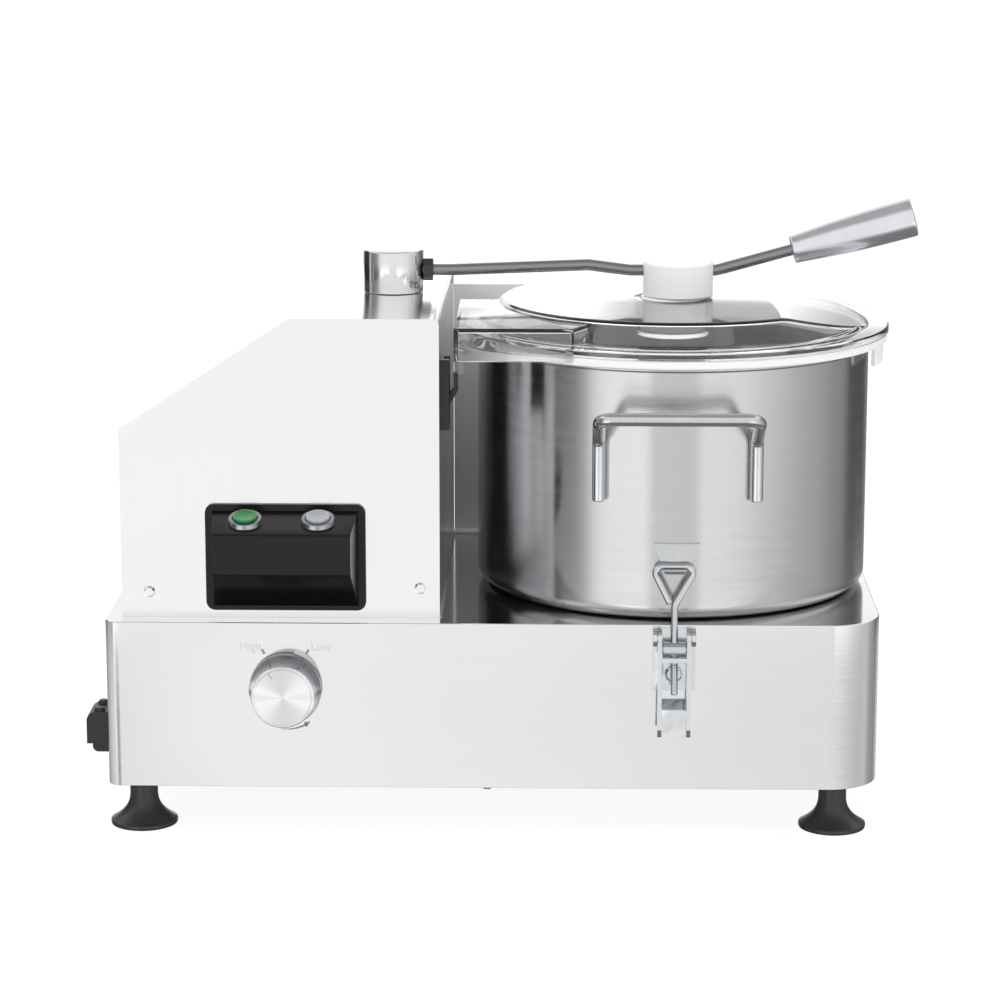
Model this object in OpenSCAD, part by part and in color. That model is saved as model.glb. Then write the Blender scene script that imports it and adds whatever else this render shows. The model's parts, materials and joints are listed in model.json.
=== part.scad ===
// Bench-top vegetable cutting machine: a belt-driven bowl cutter under a clear lid.
// Millimetres. X runs to the right, Y to the back, Z up. The origin is on the floor under the
// middle of the machine's overall box.

/* [Base] */
// Distance of the bowl from the base's right side
base_side_gap = 1.5; // [1:0.5:10]
// Distance of the bowl from the base's front and back
base_front_gap = 7.5; // [7:0.5:12]
// Height of the base, without its feet
base_h = 105; // [95:1:130]
// Plan radius of the two left corners
base_left_r = 9; // [4:1:20]
// Plan radius of the two right corners
base_right_r = 32; // [20:1:45]
// Thickness of the steel sheet
sheet_t = 1.5; // [1:0.1:2]
// Height of a rubber foot
foot_h = 32; // [24:1:45]
// Width of a foot where it stands
foot_d = 42; // [34:1:50]
// Width of a foot's neck
foot_neck_d = 17.5; // [15:0.5:22]

/* [Motor housing] */
// Width of the housing
housing_w = 197; // [190:1:205]
// Height of the housing's top above the bowl's rim
housing_over_bowl = 28; // [24:1:34]
// Width of the flat top
housing_top_w = 92; // [80:1:110]
// Drop of the sloping shoulder
shoulder_drop = 69; // [40:1:75]
// Distance of the housing's front from the base's front
housing_setback = 14; // [8:1:20]
// Distance of the housing from the base's left side
housing_inset = 10; // [6:1:14]
// Radius of the housing's bent edges
housing_r = 4; // [2:0.5:6]

/* [Bowl] */
// Gap between the housing and the bowl
bowl_gap = 20.5; // [19:0.5:30]
// Outer diameter of the bowl
bowl_d = 251; // [240:1:253]
// Height of the bowl
bowl_h = 159; // [150:1:175]
// Thickness of the bowl's wall
bowl_t = 1.5; // [1:0.1:2]
// Radius between the bowl's wall and floor
bowl_r = 10; // [6:1:16]
// Outer diameter of the bowl's centre tube
centre_tube_d = 44; // [43:0.5:47]
// Height of the centre tube above the floor of the bowl
centre_tube_h = 92; // [80:1:100]

/* [Lid] */
// Distance that the lid's flange stands out over the bowl
lid_overhang = 12.5; // [10:0.5:14]
// Thickness of the flange
lid_flange_t = 5; // [4:0.5:7]
// Thickness of the lid's clear wall
lid_t = 2.8; // [2:0.1:4]
// Height of the raised top above the flange
lid_rise = 14.5; // [10:0.5:20]
// Distance that the raised top's side slopes inwards
lid_taper = 15; // [10:1:25]
// Diameter of the knob in the middle
lid_knob_d = 42; // [38:1:44]
// Thickness of the seal ring under the flange
seal_t = 5.2; // [4:0.2:7]

/* [Arm] */
// Diameter of the post
post_d = 38.5; // [34:0.5:44]
// Height of the post
post_h = 27; // [24:1:34]
// Diameter of the arm's rod
rod_d = 7.2; // [6:0.2:8]
// Diameter of the pressure pad
pad_d = 45; // [40:1:50]
// Height of the pressure pad above the rod's middle
pad_over_rod = 8; // [7:0.5:10]
// Length of the grip
grip_len = 80; // [70:1:100]
// Diameter of the grip's thick end
grip_d = 25; // [20:1:30]
// Diameter of the grip's thin end
grip_small_d = 18; // [14:1:20]
// Angle at which the grip rises
grip_rise = 15.5; // [10:0.5:25]

/* [Controls] */
// Width of the control pod's flange
pod_w = 99; // [90:1:110]
// Height of the control pod's flange
pod_h = 67; // [62:1:75]
// Distance that the pod stands out
pod_out = 31; // [28:1:36]
// Diameter of a button's bezel
bezel_d = 22; // [20:0.5:24]
// Diameter of the speed knob's face
knob_d = 39; // [34:1:46]
// Length of the speed knob
knob_len = 22; // [18:1:28]

/* [Latch] */
// Width of the latch's base plate
latch_w = 26.4; // [26:0.2:29]
// Height of the latch's base plate
latch_h = 39.5; // [38:0.5:44]
// Length of the lever below its pivot
lever_len = 61; // [54:1:70]
// Diameter of the hook's wire
hook_d = 4.4; // [4:0.1:4.8]
// Width of the hook's loop
hook_w = 32.6; // [30:0.2:36]

/* [Drive] */
// Diameter of the motor's body
motor_d = 118; // [105:1:120]
// Height of the motor's body
motor_h = 118; // [105:1:120]
// Pitch diameter of the motor's pulley
motor_pulley_d = 60; // [50:1:66]
// Pitch diameter of the spindle's pulley
spindle_pulley_d = 90; // [80:1:110]
// Width of the belt
belt_w = 14; // [10:1:18]
// Diameter of the spindle
spindle_d = 14; // [12:0.5:15]
// Gap between the blades' tips and the bowl's wall
blade_gap = 6; // [5:0.5:15]

/* [Hidden] */

// One overrun serves every cut
cut = 1;
// Facets of a small round face
$fn = 48;
// Gap between pieces that pass each other
pass_gap = 0.3;
// Radial gap of a running fit
run_gap = 0.05;

// Sizes and places that the driving sizes give
base_w = housing_inset + housing_w + bowl_gap + bowl_d + base_side_gap;
base_d = bowl_d + 2 * base_front_gap;
bowl_offset = base_w / 2 - base_side_gap - bowl_d / 2;
base_z = foot_h;
base_top = base_z + base_h;
front_y = -base_d / 2;
back_y = base_d / 2;
cord_block_out = 16;
grip_tip = 1.5;
grip_gap_x = 75.7;
reach_left = base_w / 2 + cord_block_out;
reach_right = bowl_offset + grip_gap_x + grip_len * cos(grip_rise) + (grip_d / 2 - grip_tip) * sin(grip_rise);
mid_x = (reach_left - reach_right) / 2;
left_x = mid_x - base_w / 2;
right_x = mid_x + base_w / 2;
bowl_x = mid_x + bowl_offset;
housing_left = left_x + housing_inset;
housing_right = housing_left + housing_w;
housing_front = front_y + housing_setback;
housing_h = bowl_h + housing_over_bowl;
back_cover_t = 1.2;
housing_back = back_y - pass_gap - back_cover_t;
housing_top = base_top + housing_h;
housing_shoulder = housing_top - shoulder_drop;

// Rounded outlines
function unit(v) = v / norm(v);
function corner(a, b, c, r, n) =
    r == 0 ? [b] :
    let (u = unit(a - b), w = unit(c - b), half = acos(u * w) / 2)
    let (centre = b + unit(u + w) * r / sin(half))
    let (p = b + u * r / tan(half) - centre, q = b + w * r / tan(half) - centre)
    let (from = atan2(p.y, p.x), turn = (atan2(q.y, q.x) - from + 540) % 360 - 180)
    [for (i = [0:n]) centre + r * [cos(from + turn * i / n), sin(from + turn * i / n)]];
function rounded(pts, radii, n = 6) =
    let (last = len(pts))
    [for (i = [0:last - 1])
        each corner(pts[(i + last - 1) % last], pts[i], pts[(i + 1) % last],
                    is_list(radii) ? radii[i] : radii, n)];
function box_points(x0, y0, x1, y1) = [[x0, y0], [x1, y0], [x1, y1], [x0, y1]];

// A slab with rounded plan corners, from one corner to the other
module slab(low, high, radii, n = 6) {
    translate([0, 0, low.z])
        linear_extrude(high.z - low.z)
            polygon(rounded(box_points(low.x, low.y, high.x, high.y), radii, n));
}

// A plain box from one corner to the other
module block(low, high) {
    translate(low) cube(high - low);
}

// A bend is a hair thicker than the straight runs that lap into it
bend_swell = 0.005;
bend_lap = 0.03;

// A cylinder from one point along an axis
module rod_to(from, to, d) {
    along = to - from;
    span = norm(along);
    tilt = acos(along.z / span);
    turn = atan2(along.y, along.x);
    translate(from) rotate([0, tilt, turn]) cylinder(d = d, h = span);
}

// A round bend between two straight runs of a bent rod
module rod_bend(a, b, c, r, d) {
    u = unit(a - b);
    w = unit(c - b);
    half = acos(u * w) / 2;
    centre = b + unit(u + w) * r / sin(half);
    e1 = unit(b + u * r / tan(half) - centre);
    e3 = unit(cross(e1, b + w * r / tan(half) - centre));
    e2 = cross(e3, e1);
    multmatrix([
        [e1.x, e2.x, e3.x, centre.x],
        [e1.y, e2.y, e3.y, centre.y],
        [e1.z, e2.z, e3.z, centre.z],
        [0, 0, 0, 1]
    ])
        rotate_extrude(angle = 180 - 2 * half, $fn = 96)
            translate([r, 0]) circle(d = d * (1 + bend_swell));
}

// The point at which the bend at corner i starts, on the side of point j
function bend_end(pts, i, j, r) =
    i == 0 || i == len(pts) - 1 ? pts[i] :
    let (half = acos(unit(pts[i - 1] - pts[i]) * unit(pts[i + 1] - pts[i])) / 2)
    pts[i] + unit(pts[j] - pts[i]) * r / tan(half);

// A round rod bent along a list of points
module bent_rod(pts, d, r) {
    for (i = [0:len(pts) - 2]) {
        lap = unit(pts[i + 1] - pts[i]) * d * bend_lap;
        rod_to(bend_end(pts, i, i + 1, r) - (i == 0 ? 0 : 1) * lap,
               bend_end(pts, i + 1, i, r) + (i == len(pts) - 2 ? 0 : 1) * lap, d);
    }
    for (i = [1:1:len(pts) - 2])
        rod_bend(pts[i - 1], pts[i], pts[i + 1], r, d);
}

// Base: a deep-drawn sheet tub, open below
knob_x = left_x + 0.2333 * base_w;
knob_z = base_z + base_h * 0.605;
spindle_hole_gap = 1;
base_plan_radii = [base_left_r, base_right_r, base_right_r, base_left_r];
motor_x = housing_left + 0.533 * housing_w;
motor_hole_d = 76;
pot_bush_d = 9;
rear_slot_w = 4;
rear_slot_h = 46;
rear_slot_pitch = 11;
rear_slot_count = 9;
cord_entry_y = -base_d * 0.36;
cord_entry_z = base_z + base_h * 0.29;
cord_bore_r = 4.2;

module base_shell() {
    color("gainsboro")
    difference() {
        slab([left_x, front_y, base_z], [right_x, back_y, base_top], base_plan_radii, 12);
        slab([left_x + sheet_t, front_y + sheet_t, base_z - cut],
             [right_x - sheet_t, back_y - sheet_t, base_top - sheet_t],
             [for (r = base_plan_radii) r - sheet_t], 12);
        translate([bowl_x, 0, base_top - sheet_t - cut])
            cylinder(d = bearing_tube_d + 2 * spindle_hole_gap, h = sheet_t + 2 * cut, $fn = 64);
        translate([motor_x, 0, base_top - sheet_t - cut])
            cylinder(d = motor_hole_d, h = sheet_t + 2 * cut, $fn = 64);
        translate([knob_x, front_y - cut, knob_z])
            rotate([-90, 0, 0]) cylinder(d = pot_bush_d + 2 * run_gap, h = sheet_t + 2 * cut);
        translate([left_x - cut, cord_entry_y, cord_entry_z])
            rotate([0, 90, 0]) cylinder(d = cord_neck_d + 2 * pass_gap, h = sheet_t + 2 * cut);
        for (i = [0:rear_slot_count - 1])
            translate([motor_x + (i - (rear_slot_count - 1) / 2) * rear_slot_pitch, 0,
                       base_z + base_h / 2])
                block([-rear_slot_w / 2, back_y - sheet_t - cut, -rear_slot_h / 2],
                      [rear_slot_w / 2, back_y + cut, rear_slot_h / 2]);
    }
}

// Bottom plate with air slots, closing the tub
bottom_slot_w = 5;
bottom_slot_len = 60;
bottom_slot_pitch = 13;
bottom_slot_count = 8;
foot_inset_left = 19;
foot_inset_right = 27;
foot_inset_y = 27;
foot_xs = [left_x + foot_inset_left, right_x - foot_inset_right];
foot_ys = [front_y + foot_inset_y, back_y - foot_inset_y];
foot_bolt_d = 6;

module base_bottom_plate() {
    inset = sheet_t + pass_gap;
    color("lightgray")
    difference() {
        slab([left_x + inset, front_y + inset, base_z], [right_x - inset, back_y - inset, base_z + sheet_t],
             [for (r = base_plan_radii) r - inset], 12);
        for (x = foot_xs, y = foot_ys)
            translate([x, y, base_z - cut])
                cylinder(d = foot_bolt_d + 2 * run_gap, h = sheet_t + 2 * cut);
        for (i = [0:bottom_slot_count - 1])
            translate([motor_x + (i - (bottom_slot_count - 1) / 2) * bottom_slot_pitch, 0, base_z])
                block([-bottom_slot_w / 2, -bottom_slot_len / 2, -cut],
                      [bottom_slot_w / 2, bottom_slot_len / 2, sheet_t + cut]);
    }
}

// Feet: flared rubber bells with a flat sole
foot_sole_t = 3;
foot_bolt_len = 18;

module rubber_feet() {
    flare = [for (i = [0:10]) let (t = i / 10)
        [foot_neck_d / 2 + (foot_d - foot_neck_d) / 2 * pow(1 - t, 2.6),
         foot_sole_t + (foot_h - foot_sole_t) * 0.62 * t]];
    profile = concat([[0, 0], [foot_d / 2 - foot_sole_t / 3, 0], [foot_d / 2, foot_sole_t / 3]], flare,
                     [[foot_neck_d / 2, foot_h], [0, foot_h]]);
    color("dimgray")
    for (x = foot_xs, y = foot_ys)
        translate([x, y, 0])
            difference() {
                rotate_extrude($fn = 64) polygon(profile);
                translate([0, 0, foot_h - foot_bolt_len - pass_gap])
                    cylinder(d = foot_bolt_d + 2 * run_gap, h = foot_bolt_len + pass_gap + cut);
            }
}

module foot_bolts() {
    head_d = 1.7 * foot_bolt_d;
    head_h = 0.66 * foot_bolt_d;
    color("silver")
    for (x = foot_xs, y = foot_ys)
        translate([x, y, base_z + sheet_t]) {
            cylinder(d = head_d, h = head_h, $fn = 6);
            translate([0, 0, -sheet_t - foot_bolt_len]) cylinder(d = foot_bolt_d, h = sheet_t + foot_bolt_len);
        }
}

// Motor housing: one bent sheet cover with a sloping left shoulder
housing_profile = [
    [housing_left, base_top], [housing_right, base_top], [housing_right, housing_top],
    [housing_right - housing_top_w, housing_top], [housing_left, housing_shoulder]
];
housing_profile_radii = [0, 0, housing_r, housing_r, housing_r];
post_x = housing_right - housing_top_w * 0.367;
stud_d = 16;
pod_x = housing_left + housing_w * 0.5175;
pod_above_base = 5;
pod_z = base_top + pod_h / 2 + pod_above_base;
pod_rim = 3;
pod_lip_t = 2;
pod_taper = 3;
pod_hole = pod_w / 2 - pod_rim - pod_taper / 2 + pass_gap;
switch_y = housing_front + 25;
switch_under_lid = 21.6;
switch_z = base_top + bowl_h - switch_under_lid;
switch_h = 44;
switch_w = 20;
switch_out = 5.5;
switch_neck_d = 7;

module housing_section(inset, y0, y1) {
    translate([0, y1, 0])
        rotate([90, 0, 0])
            linear_extrude(y1 - y0)
                offset_section(inset);
}

// The housing's outline, moved inwards by a wall thickness
module offset_section(inset) {
    slope = atan2(shoulder_drop, housing_w - housing_top_w);
    shift = inset / cos(slope);
    left = housing_left + inset;
    right = housing_right - inset;
    top = housing_top - inset;
    shoulder = housing_shoulder - shift + inset * tan(slope);
    turn_x = housing_right - housing_top_w + (shift - inset) / tan(slope);
    polygon(rounded([[left, base_top - (inset > 0 ? cut : 0)], [right, base_top - (inset > 0 ? cut : 0)],
                     [right, top], [turn_x, top], [left, shoulder]],
                    [0, 0, housing_r - inset, housing_r - inset, housing_r - inset]));
}

module motor_housing() {
    color("whitesmoke")
    difference() {
        housing_section(0, housing_front, housing_back);
        housing_section(sheet_t, housing_front + sheet_t, housing_back + cut);
        translate([post_x, 0, housing_top - sheet_t - cut])
            cylinder(d = stud_d + 2 * run_gap, h = sheet_t + 2 * cut, $fn = 64);
        block([pod_x - pod_hole, housing_front - cut, pod_z - pod_h / 2 + pod_rim - pass_gap],
              [pod_x + pod_hole, housing_front + sheet_t + cut, pod_top_z + pass_gap]);
        translate([housing_right - sheet_t - cut, switch_y, switch_z])
            rotate([0, 90, 0]) cylinder(d = switch_neck_d + 2 * pass_gap, h = sheet_t + 2 * cut);
        for (p = front_screws)
            translate([p.x, housing_front - cut, p.y])
                rotate([-90, 0, 0]) cylinder(d = screw_d + 2 * run_gap, h = sheet_t + 2 * cut, $fn = 24);
    }
}

// Back cover with pressed air slots
cover_slot_w = 100;
cover_slot_h = 4;
cover_slot_pitch = 12;
cover_slot_count = 7;
cover_slot_z = base_top + housing_h * 0.26;

module housing_back_cover() {
    screws = cover_screws();
    color("gainsboro")
    difference() {
        translate([0, housing_back + back_cover_t, 0])
            rotate([90, 0, 0])
                linear_extrude(back_cover_t) polygon(rounded(housing_profile, housing_profile_radii));
        for (i = [0:cover_slot_count - 1])
            translate([motor_x, housing_back, cover_slot_z + i * cover_slot_pitch])
                block([-cover_slot_w / 2, -cut, -cover_slot_h / 2],
                      [cover_slot_w / 2, back_cover_t + cut, cover_slot_h / 2]);
        for (p = screws)
            translate([p.x, housing_back - cut, p.y])
                rotate([-90, 0, 0]) cylinder(d = screw_d + 2 * run_gap, h = back_cover_t + 2 * cut, $fn = 24);
    }
}

// Screws of the housing and its cover
screw_d = 4;
screw_head_d = 7.5;
screw_head_h = 2.2;
screw_inset = 14;
function cover_screws() = [
    [housing_left + screw_inset, base_top + screw_inset],
    [housing_right - screw_inset, base_top + screw_inset],
    [housing_right - screw_inset, housing_top - screw_inset],
    [housing_left + screw_inset, housing_shoulder - screw_inset]
];

module screw(shank_len) {
    cylinder(d1 = screw_head_d, d2 = screw_head_d * 0.7, h = screw_head_h, $fn = 32);
    translate([0, 0, -shank_len]) cylinder(d = screw_d, h = shank_len, $fn = 32);
}

front_screws = [[housing_left + 17, base_top + 16], [housing_right - 12, base_top + 19]];

module housing_screws() {
    color("silver") {
        for (p = cover_screws())
            translate([p.x, housing_back + back_cover_t, p.y]) rotate([-90, 0, 0]) screw(back_cover_t);
        for (p = front_screws)
            translate([p.x, housing_front, p.y]) rotate([90, 0, 0]) screw(sheet_t);
        for (s = [-1, 1])
            translate([left_x - cord_block_out / 2, cord_entry_y + s * cord_block_w * 0.34,
                       cord_entry_z + cord_block_up])
                screw(screw_head_d - pass_gap);
    }
}

// Rear guard: a flat sheet behind the gap between housing and bowl
guard_w = 0.33 * bowl_d;
guard_h = housing_h - 14;
guard_foot = 10;

module rear_guard() {
    inner = housing_back + back_cover_t - sheet_t;
    color("whitesmoke")
    difference() {
        union() {
            block([housing_right + pass_gap, inner, base_top], [housing_right + guard_w, inner + sheet_t, base_top + guard_h]);
            block([housing_right + pass_gap, inner - guard_foot, base_top],
                  [housing_right + guard_w / 2, inner + sheet_t, base_top + sheet_t]);
        }
        translate([housing_right + guard_w, inner - cut, base_top + guard_h])
            rotate([-90, 0, 0])
                linear_extrude(sheet_t + 2 * cut)
                    difference() {
                        translate([-guard_foot, -cut]) square([guard_foot + cut, guard_foot + cut]);
                        translate([-guard_foot, guard_foot]) circle(r = guard_foot);
                    }
    }
}

// Control pod with a sloping shelf
pod_wall = 2.4;
pod_r = 5.6;
shelf_drop = 9.3;
pod_top_gap = 4;
pod_face_h = 25;
shelf_run = pod_out - pod_lip_t;
shelf_angle = atan2(shelf_drop, shelf_run);
pod_top_z = pod_z + pod_h / 2 - pod_top_gap;
shelf_front_z = pod_top_z - shelf_drop;
face_bottom_z = shelf_front_z - pod_face_h;
pod_front_y = housing_front - pod_out;
pod_lip_y = housing_front - pod_lip_t;
button_pitch = 44.6;
button_shift = 1;
button_xs = [pod_x - button_pitch / 2 - button_shift, pod_x + button_pitch / 2 - button_shift];
button_y = pod_lip_y - shelf_run * 0.44;
button_z = pod_top_z - shelf_drop * 0.44;
button_hole_d = 16;

module pod_body(inset) {
    back_half = pod_w / 2 - pod_rim - pod_taper / 2 - inset;
    front_half = back_half - pod_taper;
    low = pod_z - pod_h / 2 + pod_rim;
    side = [
        [pod_lip_y + inset, low + inset], [pod_front_y + inset, face_bottom_z + inset * 0.6],
        [pod_front_y + inset, shelf_front_z - inset], [pod_lip_y + inset, pod_top_z - inset * 1.05]
    ];
    intersection() {
        translate([pod_x - back_half, 0, 0])
            rotate([90, 0, 90])
                linear_extrude(2 * back_half)
                    polygon(concat([[housing_front + sheet_t, side[0].y]], [side[0]],
                        corner(side[0], side[1], side[2], pod_r / 2, 4), corner(side[1], side[2], side[3], pod_r / 2, 4),
                        [side[3]], [[housing_front + sheet_t, side[3].y]]));
        translate([pod_x, 0, low - pod_h / 2])
            linear_extrude(2 * pod_h)
                polygon([[-back_half, pod_lip_y], [-front_half, pod_front_y], [front_half, pod_front_y],
                         [back_half, pod_lip_y], [back_half, housing_front + sheet_t + cut],
                         [-back_half, housing_front + sheet_t + cut]]);
    }
}

module at_button(i) {
    translate([button_xs[i], button_y, button_z]) rotate([shelf_angle, 0, 0]) children();
}

module control_pod() {
    color("dimgray")
    difference() {
        union() {
            translate([pod_x, housing_front, pod_z])
                rotate([90, 0, 0])
                    linear_extrude(pod_lip_t)
                        polygon(rounded(box_points(-pod_w / 2, -pod_h / 2, pod_w / 2, pod_h / 2), pod_r));
            pod_body(0);
        }
        pod_body(pod_wall);
        block([pod_x - pod_w / 2 + 2.5 * pod_rim, housing_front - pod_lip_t - cut, pod_z - pod_h / 2 + 2.5 * pod_rim],
              [pod_x + pod_w / 2 - 2.5 * pod_rim, housing_front + sheet_t + 2 * cut, pod_top_z - pod_wall - pod_rim / 2]);
        for (i = [0, 1])
            at_button(i) translate([0, 0, -3 * pod_wall])
                cylinder(d = button_hole_d, h = 4 * pod_wall);
    }
}

// Buttons: a bezel ring, a sprung cap and a contact block
bezel_t = 3;
bezel_wall = 2;
cap_d = bezel_d - 7;
cap_proud = 1.6;
button_travel = 2.5;
neck_len = 6;
contact_len = 16;

module button_bezels() {
    neck_d = button_hole_d - 2 * run_gap;
    color("silver")
    for (i = [0, 1])
        at_button(i)
            difference() {
                union() {
                    cylinder(d1 = bezel_d, d2 = bezel_d - bezel_wall, h = bezel_t, $fn = 64);
                    translate([0, 0, -neck_len]) cylinder(d = neck_d, h = neck_len);
                }
                translate([0, 0, bezel_t - button_travel - pass_gap])
                    cylinder(d = cap_d + 2 * pass_gap, h = bezel_t, $fn = 64);
                translate([0, 0, -neck_len - cut])
                    cylinder(d = stem_d + 2 * run_gap + pass_gap, h = neck_len + bezel_t + cut);
            }
}

stem_d = 6;
module button_cap() {
    dish = cap_d * 2;
    cap_low = bezel_t + cap_proud - 1.2 * cap_proud;
    difference() {
        union() {
            translate([0, 0, cap_low]) cylinder(d = cap_d, h = bezel_t + cap_proud - cap_low, $fn = 64);
            translate([0, 0, -neck_len + pass_gap])
                cylinder(d = stem_d, h = neck_len + cap_low - pass_gap);
        }
        translate([0, 0, bezel_t + cap_proud + dish - cap_proud * 0.4]) sphere(r = dish, $fn = 96);
    }
}

module start_button() {
    color("limegreen") at_button(0) button_cap();
}

module stop_button() {
    color("silver") at_button(1) button_cap();
}

module button_switches() {
    color("gray")
    for (i = [0, 1])
        at_button(i)
            translate([0, 0, -neck_len - contact_len])
                difference() {
                    cylinder(d = button_hole_d + pod_rim, h = contact_len);
                    translate([0, 0, contact_len - button_travel - pass_gap])
                        cylinder(d = stem_d + pass_gap, h = button_travel + pass_gap + cut);
                }
}

// Speed knob with a flared skirt
knob_gap = 1;
knob_skirt_d = 1.15 * knob_d;
pot_shaft_d = 6;
pot_shaft_in = 14;
grub_d = 4;

module speed_knob() {
    back_r = knob_skirt_d / 2;
    face_r = knob_d / 2;
    profile = concat([[0, 0]], [[back_r - knob_gap, 0], [back_r, knob_gap], [back_r, 0.2 * knob_len]],
        [for (i = [1:8]) let (t = i / 8)
            [back_r + (face_r - back_r) * t - 0.35 * (back_r - face_r) * sin(180 * t),
             knob_len * (0.2 + 0.74 * t)]],
        [[face_r - 0.06 * knob_len, knob_len], [face_r - 0.12 * knob_len, knob_len], [0, knob_len - knob_gap / 2]]);
    color("silver")
    translate([knob_x, front_y - knob_gap, knob_z])
        rotate([90, 0, 0])
            difference() {
                rotate_extrude($fn = 96) polygon(profile);
                translate([0, 0, -cut]) cylinder(d = pot_shaft_d + 2 * run_gap, h = pot_shaft_in + cut);
                translate([0, 0, knob_len * 0.3])
                    rotate([0, 90, 0]) cylinder(d = grub_d, h = back_r + cut, $fn = 32);
            }
}

module knob_grub_screw() {
    reach = knob_skirt_d / 2 - 2 * knob_gap;
    color("dimgray")
    translate([knob_x, front_y - knob_gap - knob_len * 0.3, knob_z])
        rotate([0, 90, 0])
            difference() {
                translate([0, 0, pot_shaft_d / 2 + 2 * run_gap])
                    cylinder(d = grub_d - 2 * run_gap, h = reach - pot_shaft_d / 2, $fn = 32);
                translate([0, 0, reach - grub_d / 2]) cylinder(d = grub_d / 2, h = grub_d, $fn = 6);
            }
}

// Speed potentiometer behind the front wall
pot_d = 24;
pot_len = 11;

module speed_pot() {
    color("dimgray")
    translate([knob_x, front_y + sheet_t, knob_z])
        rotate([-90, 0, 0])
            difference() {
                union() {
                    cylinder(d = pot_d, h = pot_len);
                    translate([0, 0, -sheet_t]) cylinder(d = pot_bush_d, h = sheet_t);
                }
                translate([0, 0, -sheet_t - cut])
                    cylinder(d = pot_shaft_d + 2 * run_gap, h = sheet_t + cut + pot_len / 2);
            }
}

// The shaft runs in the potentiometer and is held in the knob by the grub screw
module pot_shaft() {
    back = pot_len / 2 - pass_gap;
    color("silver")
    translate([knob_x, front_y + sheet_t + back, knob_z])
        rotate([90, 0, 0])
            cylinder(d = pot_shaft_d, h = back + sheet_t + knob_gap + pot_shaft_in - pass_gap);
}

// Speed control board on four standoffs in the base
board_w = 62;
board_d = 100;
board_t = 1.6;
standoff_h = 12;
standoff_d = 7;
board_x = left_x + 52;
board_y = 18;
board_inset = 6;

module speed_board() {
    z = base_z + sheet_t + standoff_h;
    color("seagreen")
    translate([board_x, board_y, z]) {
        block([-board_w / 2, -board_d / 2, 0], [board_w / 2, board_d / 2, board_t]);
        for (i = [-1, 1])
            translate([i * board_w * 0.24, -board_d * 0.28, board_t])
                cylinder(d = board_w * 0.26, h = board_w * 0.42);
        block([-board_w * 0.4, board_d * 0.1, board_t], [-board_w * 0.2, board_d * 0.44, board_w * 0.4]);
        for (i = [0:4])
            block([-board_w * 0.2 - board_t, board_d * (0.1 + 0.075 * i), board_t],
                  [board_w * 0.1, board_d * (0.13 + 0.075 * i), board_w * 0.36]);
        block([board_w * 0.2, board_d * 0.16, board_t], [board_w * 0.42, board_d * 0.38, board_w * 0.2]);
    }
}

module board_standoffs() {
    color("silver")
    for (i = [-1, 1], j = [-1, 1])
        translate([board_x + i * (board_w / 2 - board_inset), board_y + j * (board_d / 2 - board_inset),
                   base_z + sheet_t])
            cylinder(d = standoff_d, h = standoff_h, $fn = 32);
}

// Cord entry: a moulded clamp block on the left wall
cord_block_w = 26;
cord_block_up = 10;
cord_block_down = 10.5;
cord_lower_h = 6;
cord_neck_d = 14;
cord_neck_len = 8;

module cord_entry() {
    color("dimgray")
    translate([left_x, cord_entry_y, cord_entry_z])
        difference() {
            union() {
                translate([0, cord_block_w / 2, 0])
                    rotate([90, 0, 0])
                        linear_extrude(cord_block_w)
                            polygon(rounded([[0, -cord_block_down], [0, cord_block_up],
                                [-cord_block_out, cord_block_up], [-cord_block_out, -cord_block_down]],
                                [0, 0, cord_block_out * 0.35, 0]));
                translate([0, cord_block_w * 0.4, 0])
                    rotate([90, 0, 0])
                        linear_extrude(cord_block_w * 0.8)
                            polygon(rounded([[0, -cord_block_down - cord_lower_h], [0, -cord_block_down],
                                [-cord_block_out * 0.8, -cord_block_down],
                                [-cord_block_out * 0.8, -cord_block_down - cord_lower_h]],
                                [0, 0, 0, cord_lower_h * 0.6]));
                rotate([0, 90, 0]) cylinder(d = cord_neck_d, h = cord_neck_len);
            }
            translate([-cord_block_out - cut, 0, 0])
                rotate([0, 90, 0])
                    cylinder(r = cord_bore_r, h = cord_block_out + cord_neck_len + 2 * cut);
            for (s = [-1, 1])
                translate([-cord_block_out / 2, s * cord_block_w * 0.34, cord_block_up - screw_head_d])
                    cylinder(d = screw_d + 2 * run_gap, h = screw_head_d + cut, $fn = 32);
        }
}

// Motor
plate_t = 5;
bell_t = 8;
bearing_d = 35;
bearing_w = 11;
shaft_d = 15;
motor_z = base_top + plate_t;
casing_t = 4;
fin_count = 24;
fin_h = 3;
rotor_d = 68;
air_gap = 0.6;
core_share = 0.62;
bell_boss = 3;

module casing_tube() {
    difference() {
        union() {
            cylinder(d = motor_d - 2 * fin_h, h = motor_h - 2 * bell_t, $fn = 96);
            for (i = [0:fin_count - 1])
                rotate(i * 360 / fin_count)
                    block([motor_d / 2 - 2 * fin_h, -fin_h / 3, 0], [motor_d / 2, fin_h / 3, motor_h - 2 * bell_t]);
        }
        translate([0, 0, -cut])
            cylinder(d = motor_d - 2 * fin_h - 2 * casing_t, h = motor_h + 2 * cut, $fn = 96);
    }
}

module motor_casing() {
    color("slategray") translate([motor_x, 0, motor_z + bell_t]) casing_tube();
}

// One end bell, its flat face at zero and its bearing seat facing up
module end_bell() {
    difference() {
        union() {
            cylinder(d = motor_d, h = bell_t, $fn = 96);
            cylinder(d = bearing_d + 4 * bell_boss, h = bell_t + bearing_w / 2, $fn = 64);
        }
        translate([0, 0, bell_boss]) cylinder(d = bearing_d, h = bearing_w + bell_t, $fn = 64);
        translate([0, 0, -cut]) cylinder(d = shaft_d + 2 * bell_boss, h = bell_t + 2 * cut, $fn = 64);
    }
}

module motor_end_bells() {
    color("slategray")
    translate([motor_x, 0, motor_z]) {
        end_bell();
        translate([0, 0, motor_h]) mirror([0, 0, 1]) end_bell();
    }
}

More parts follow.
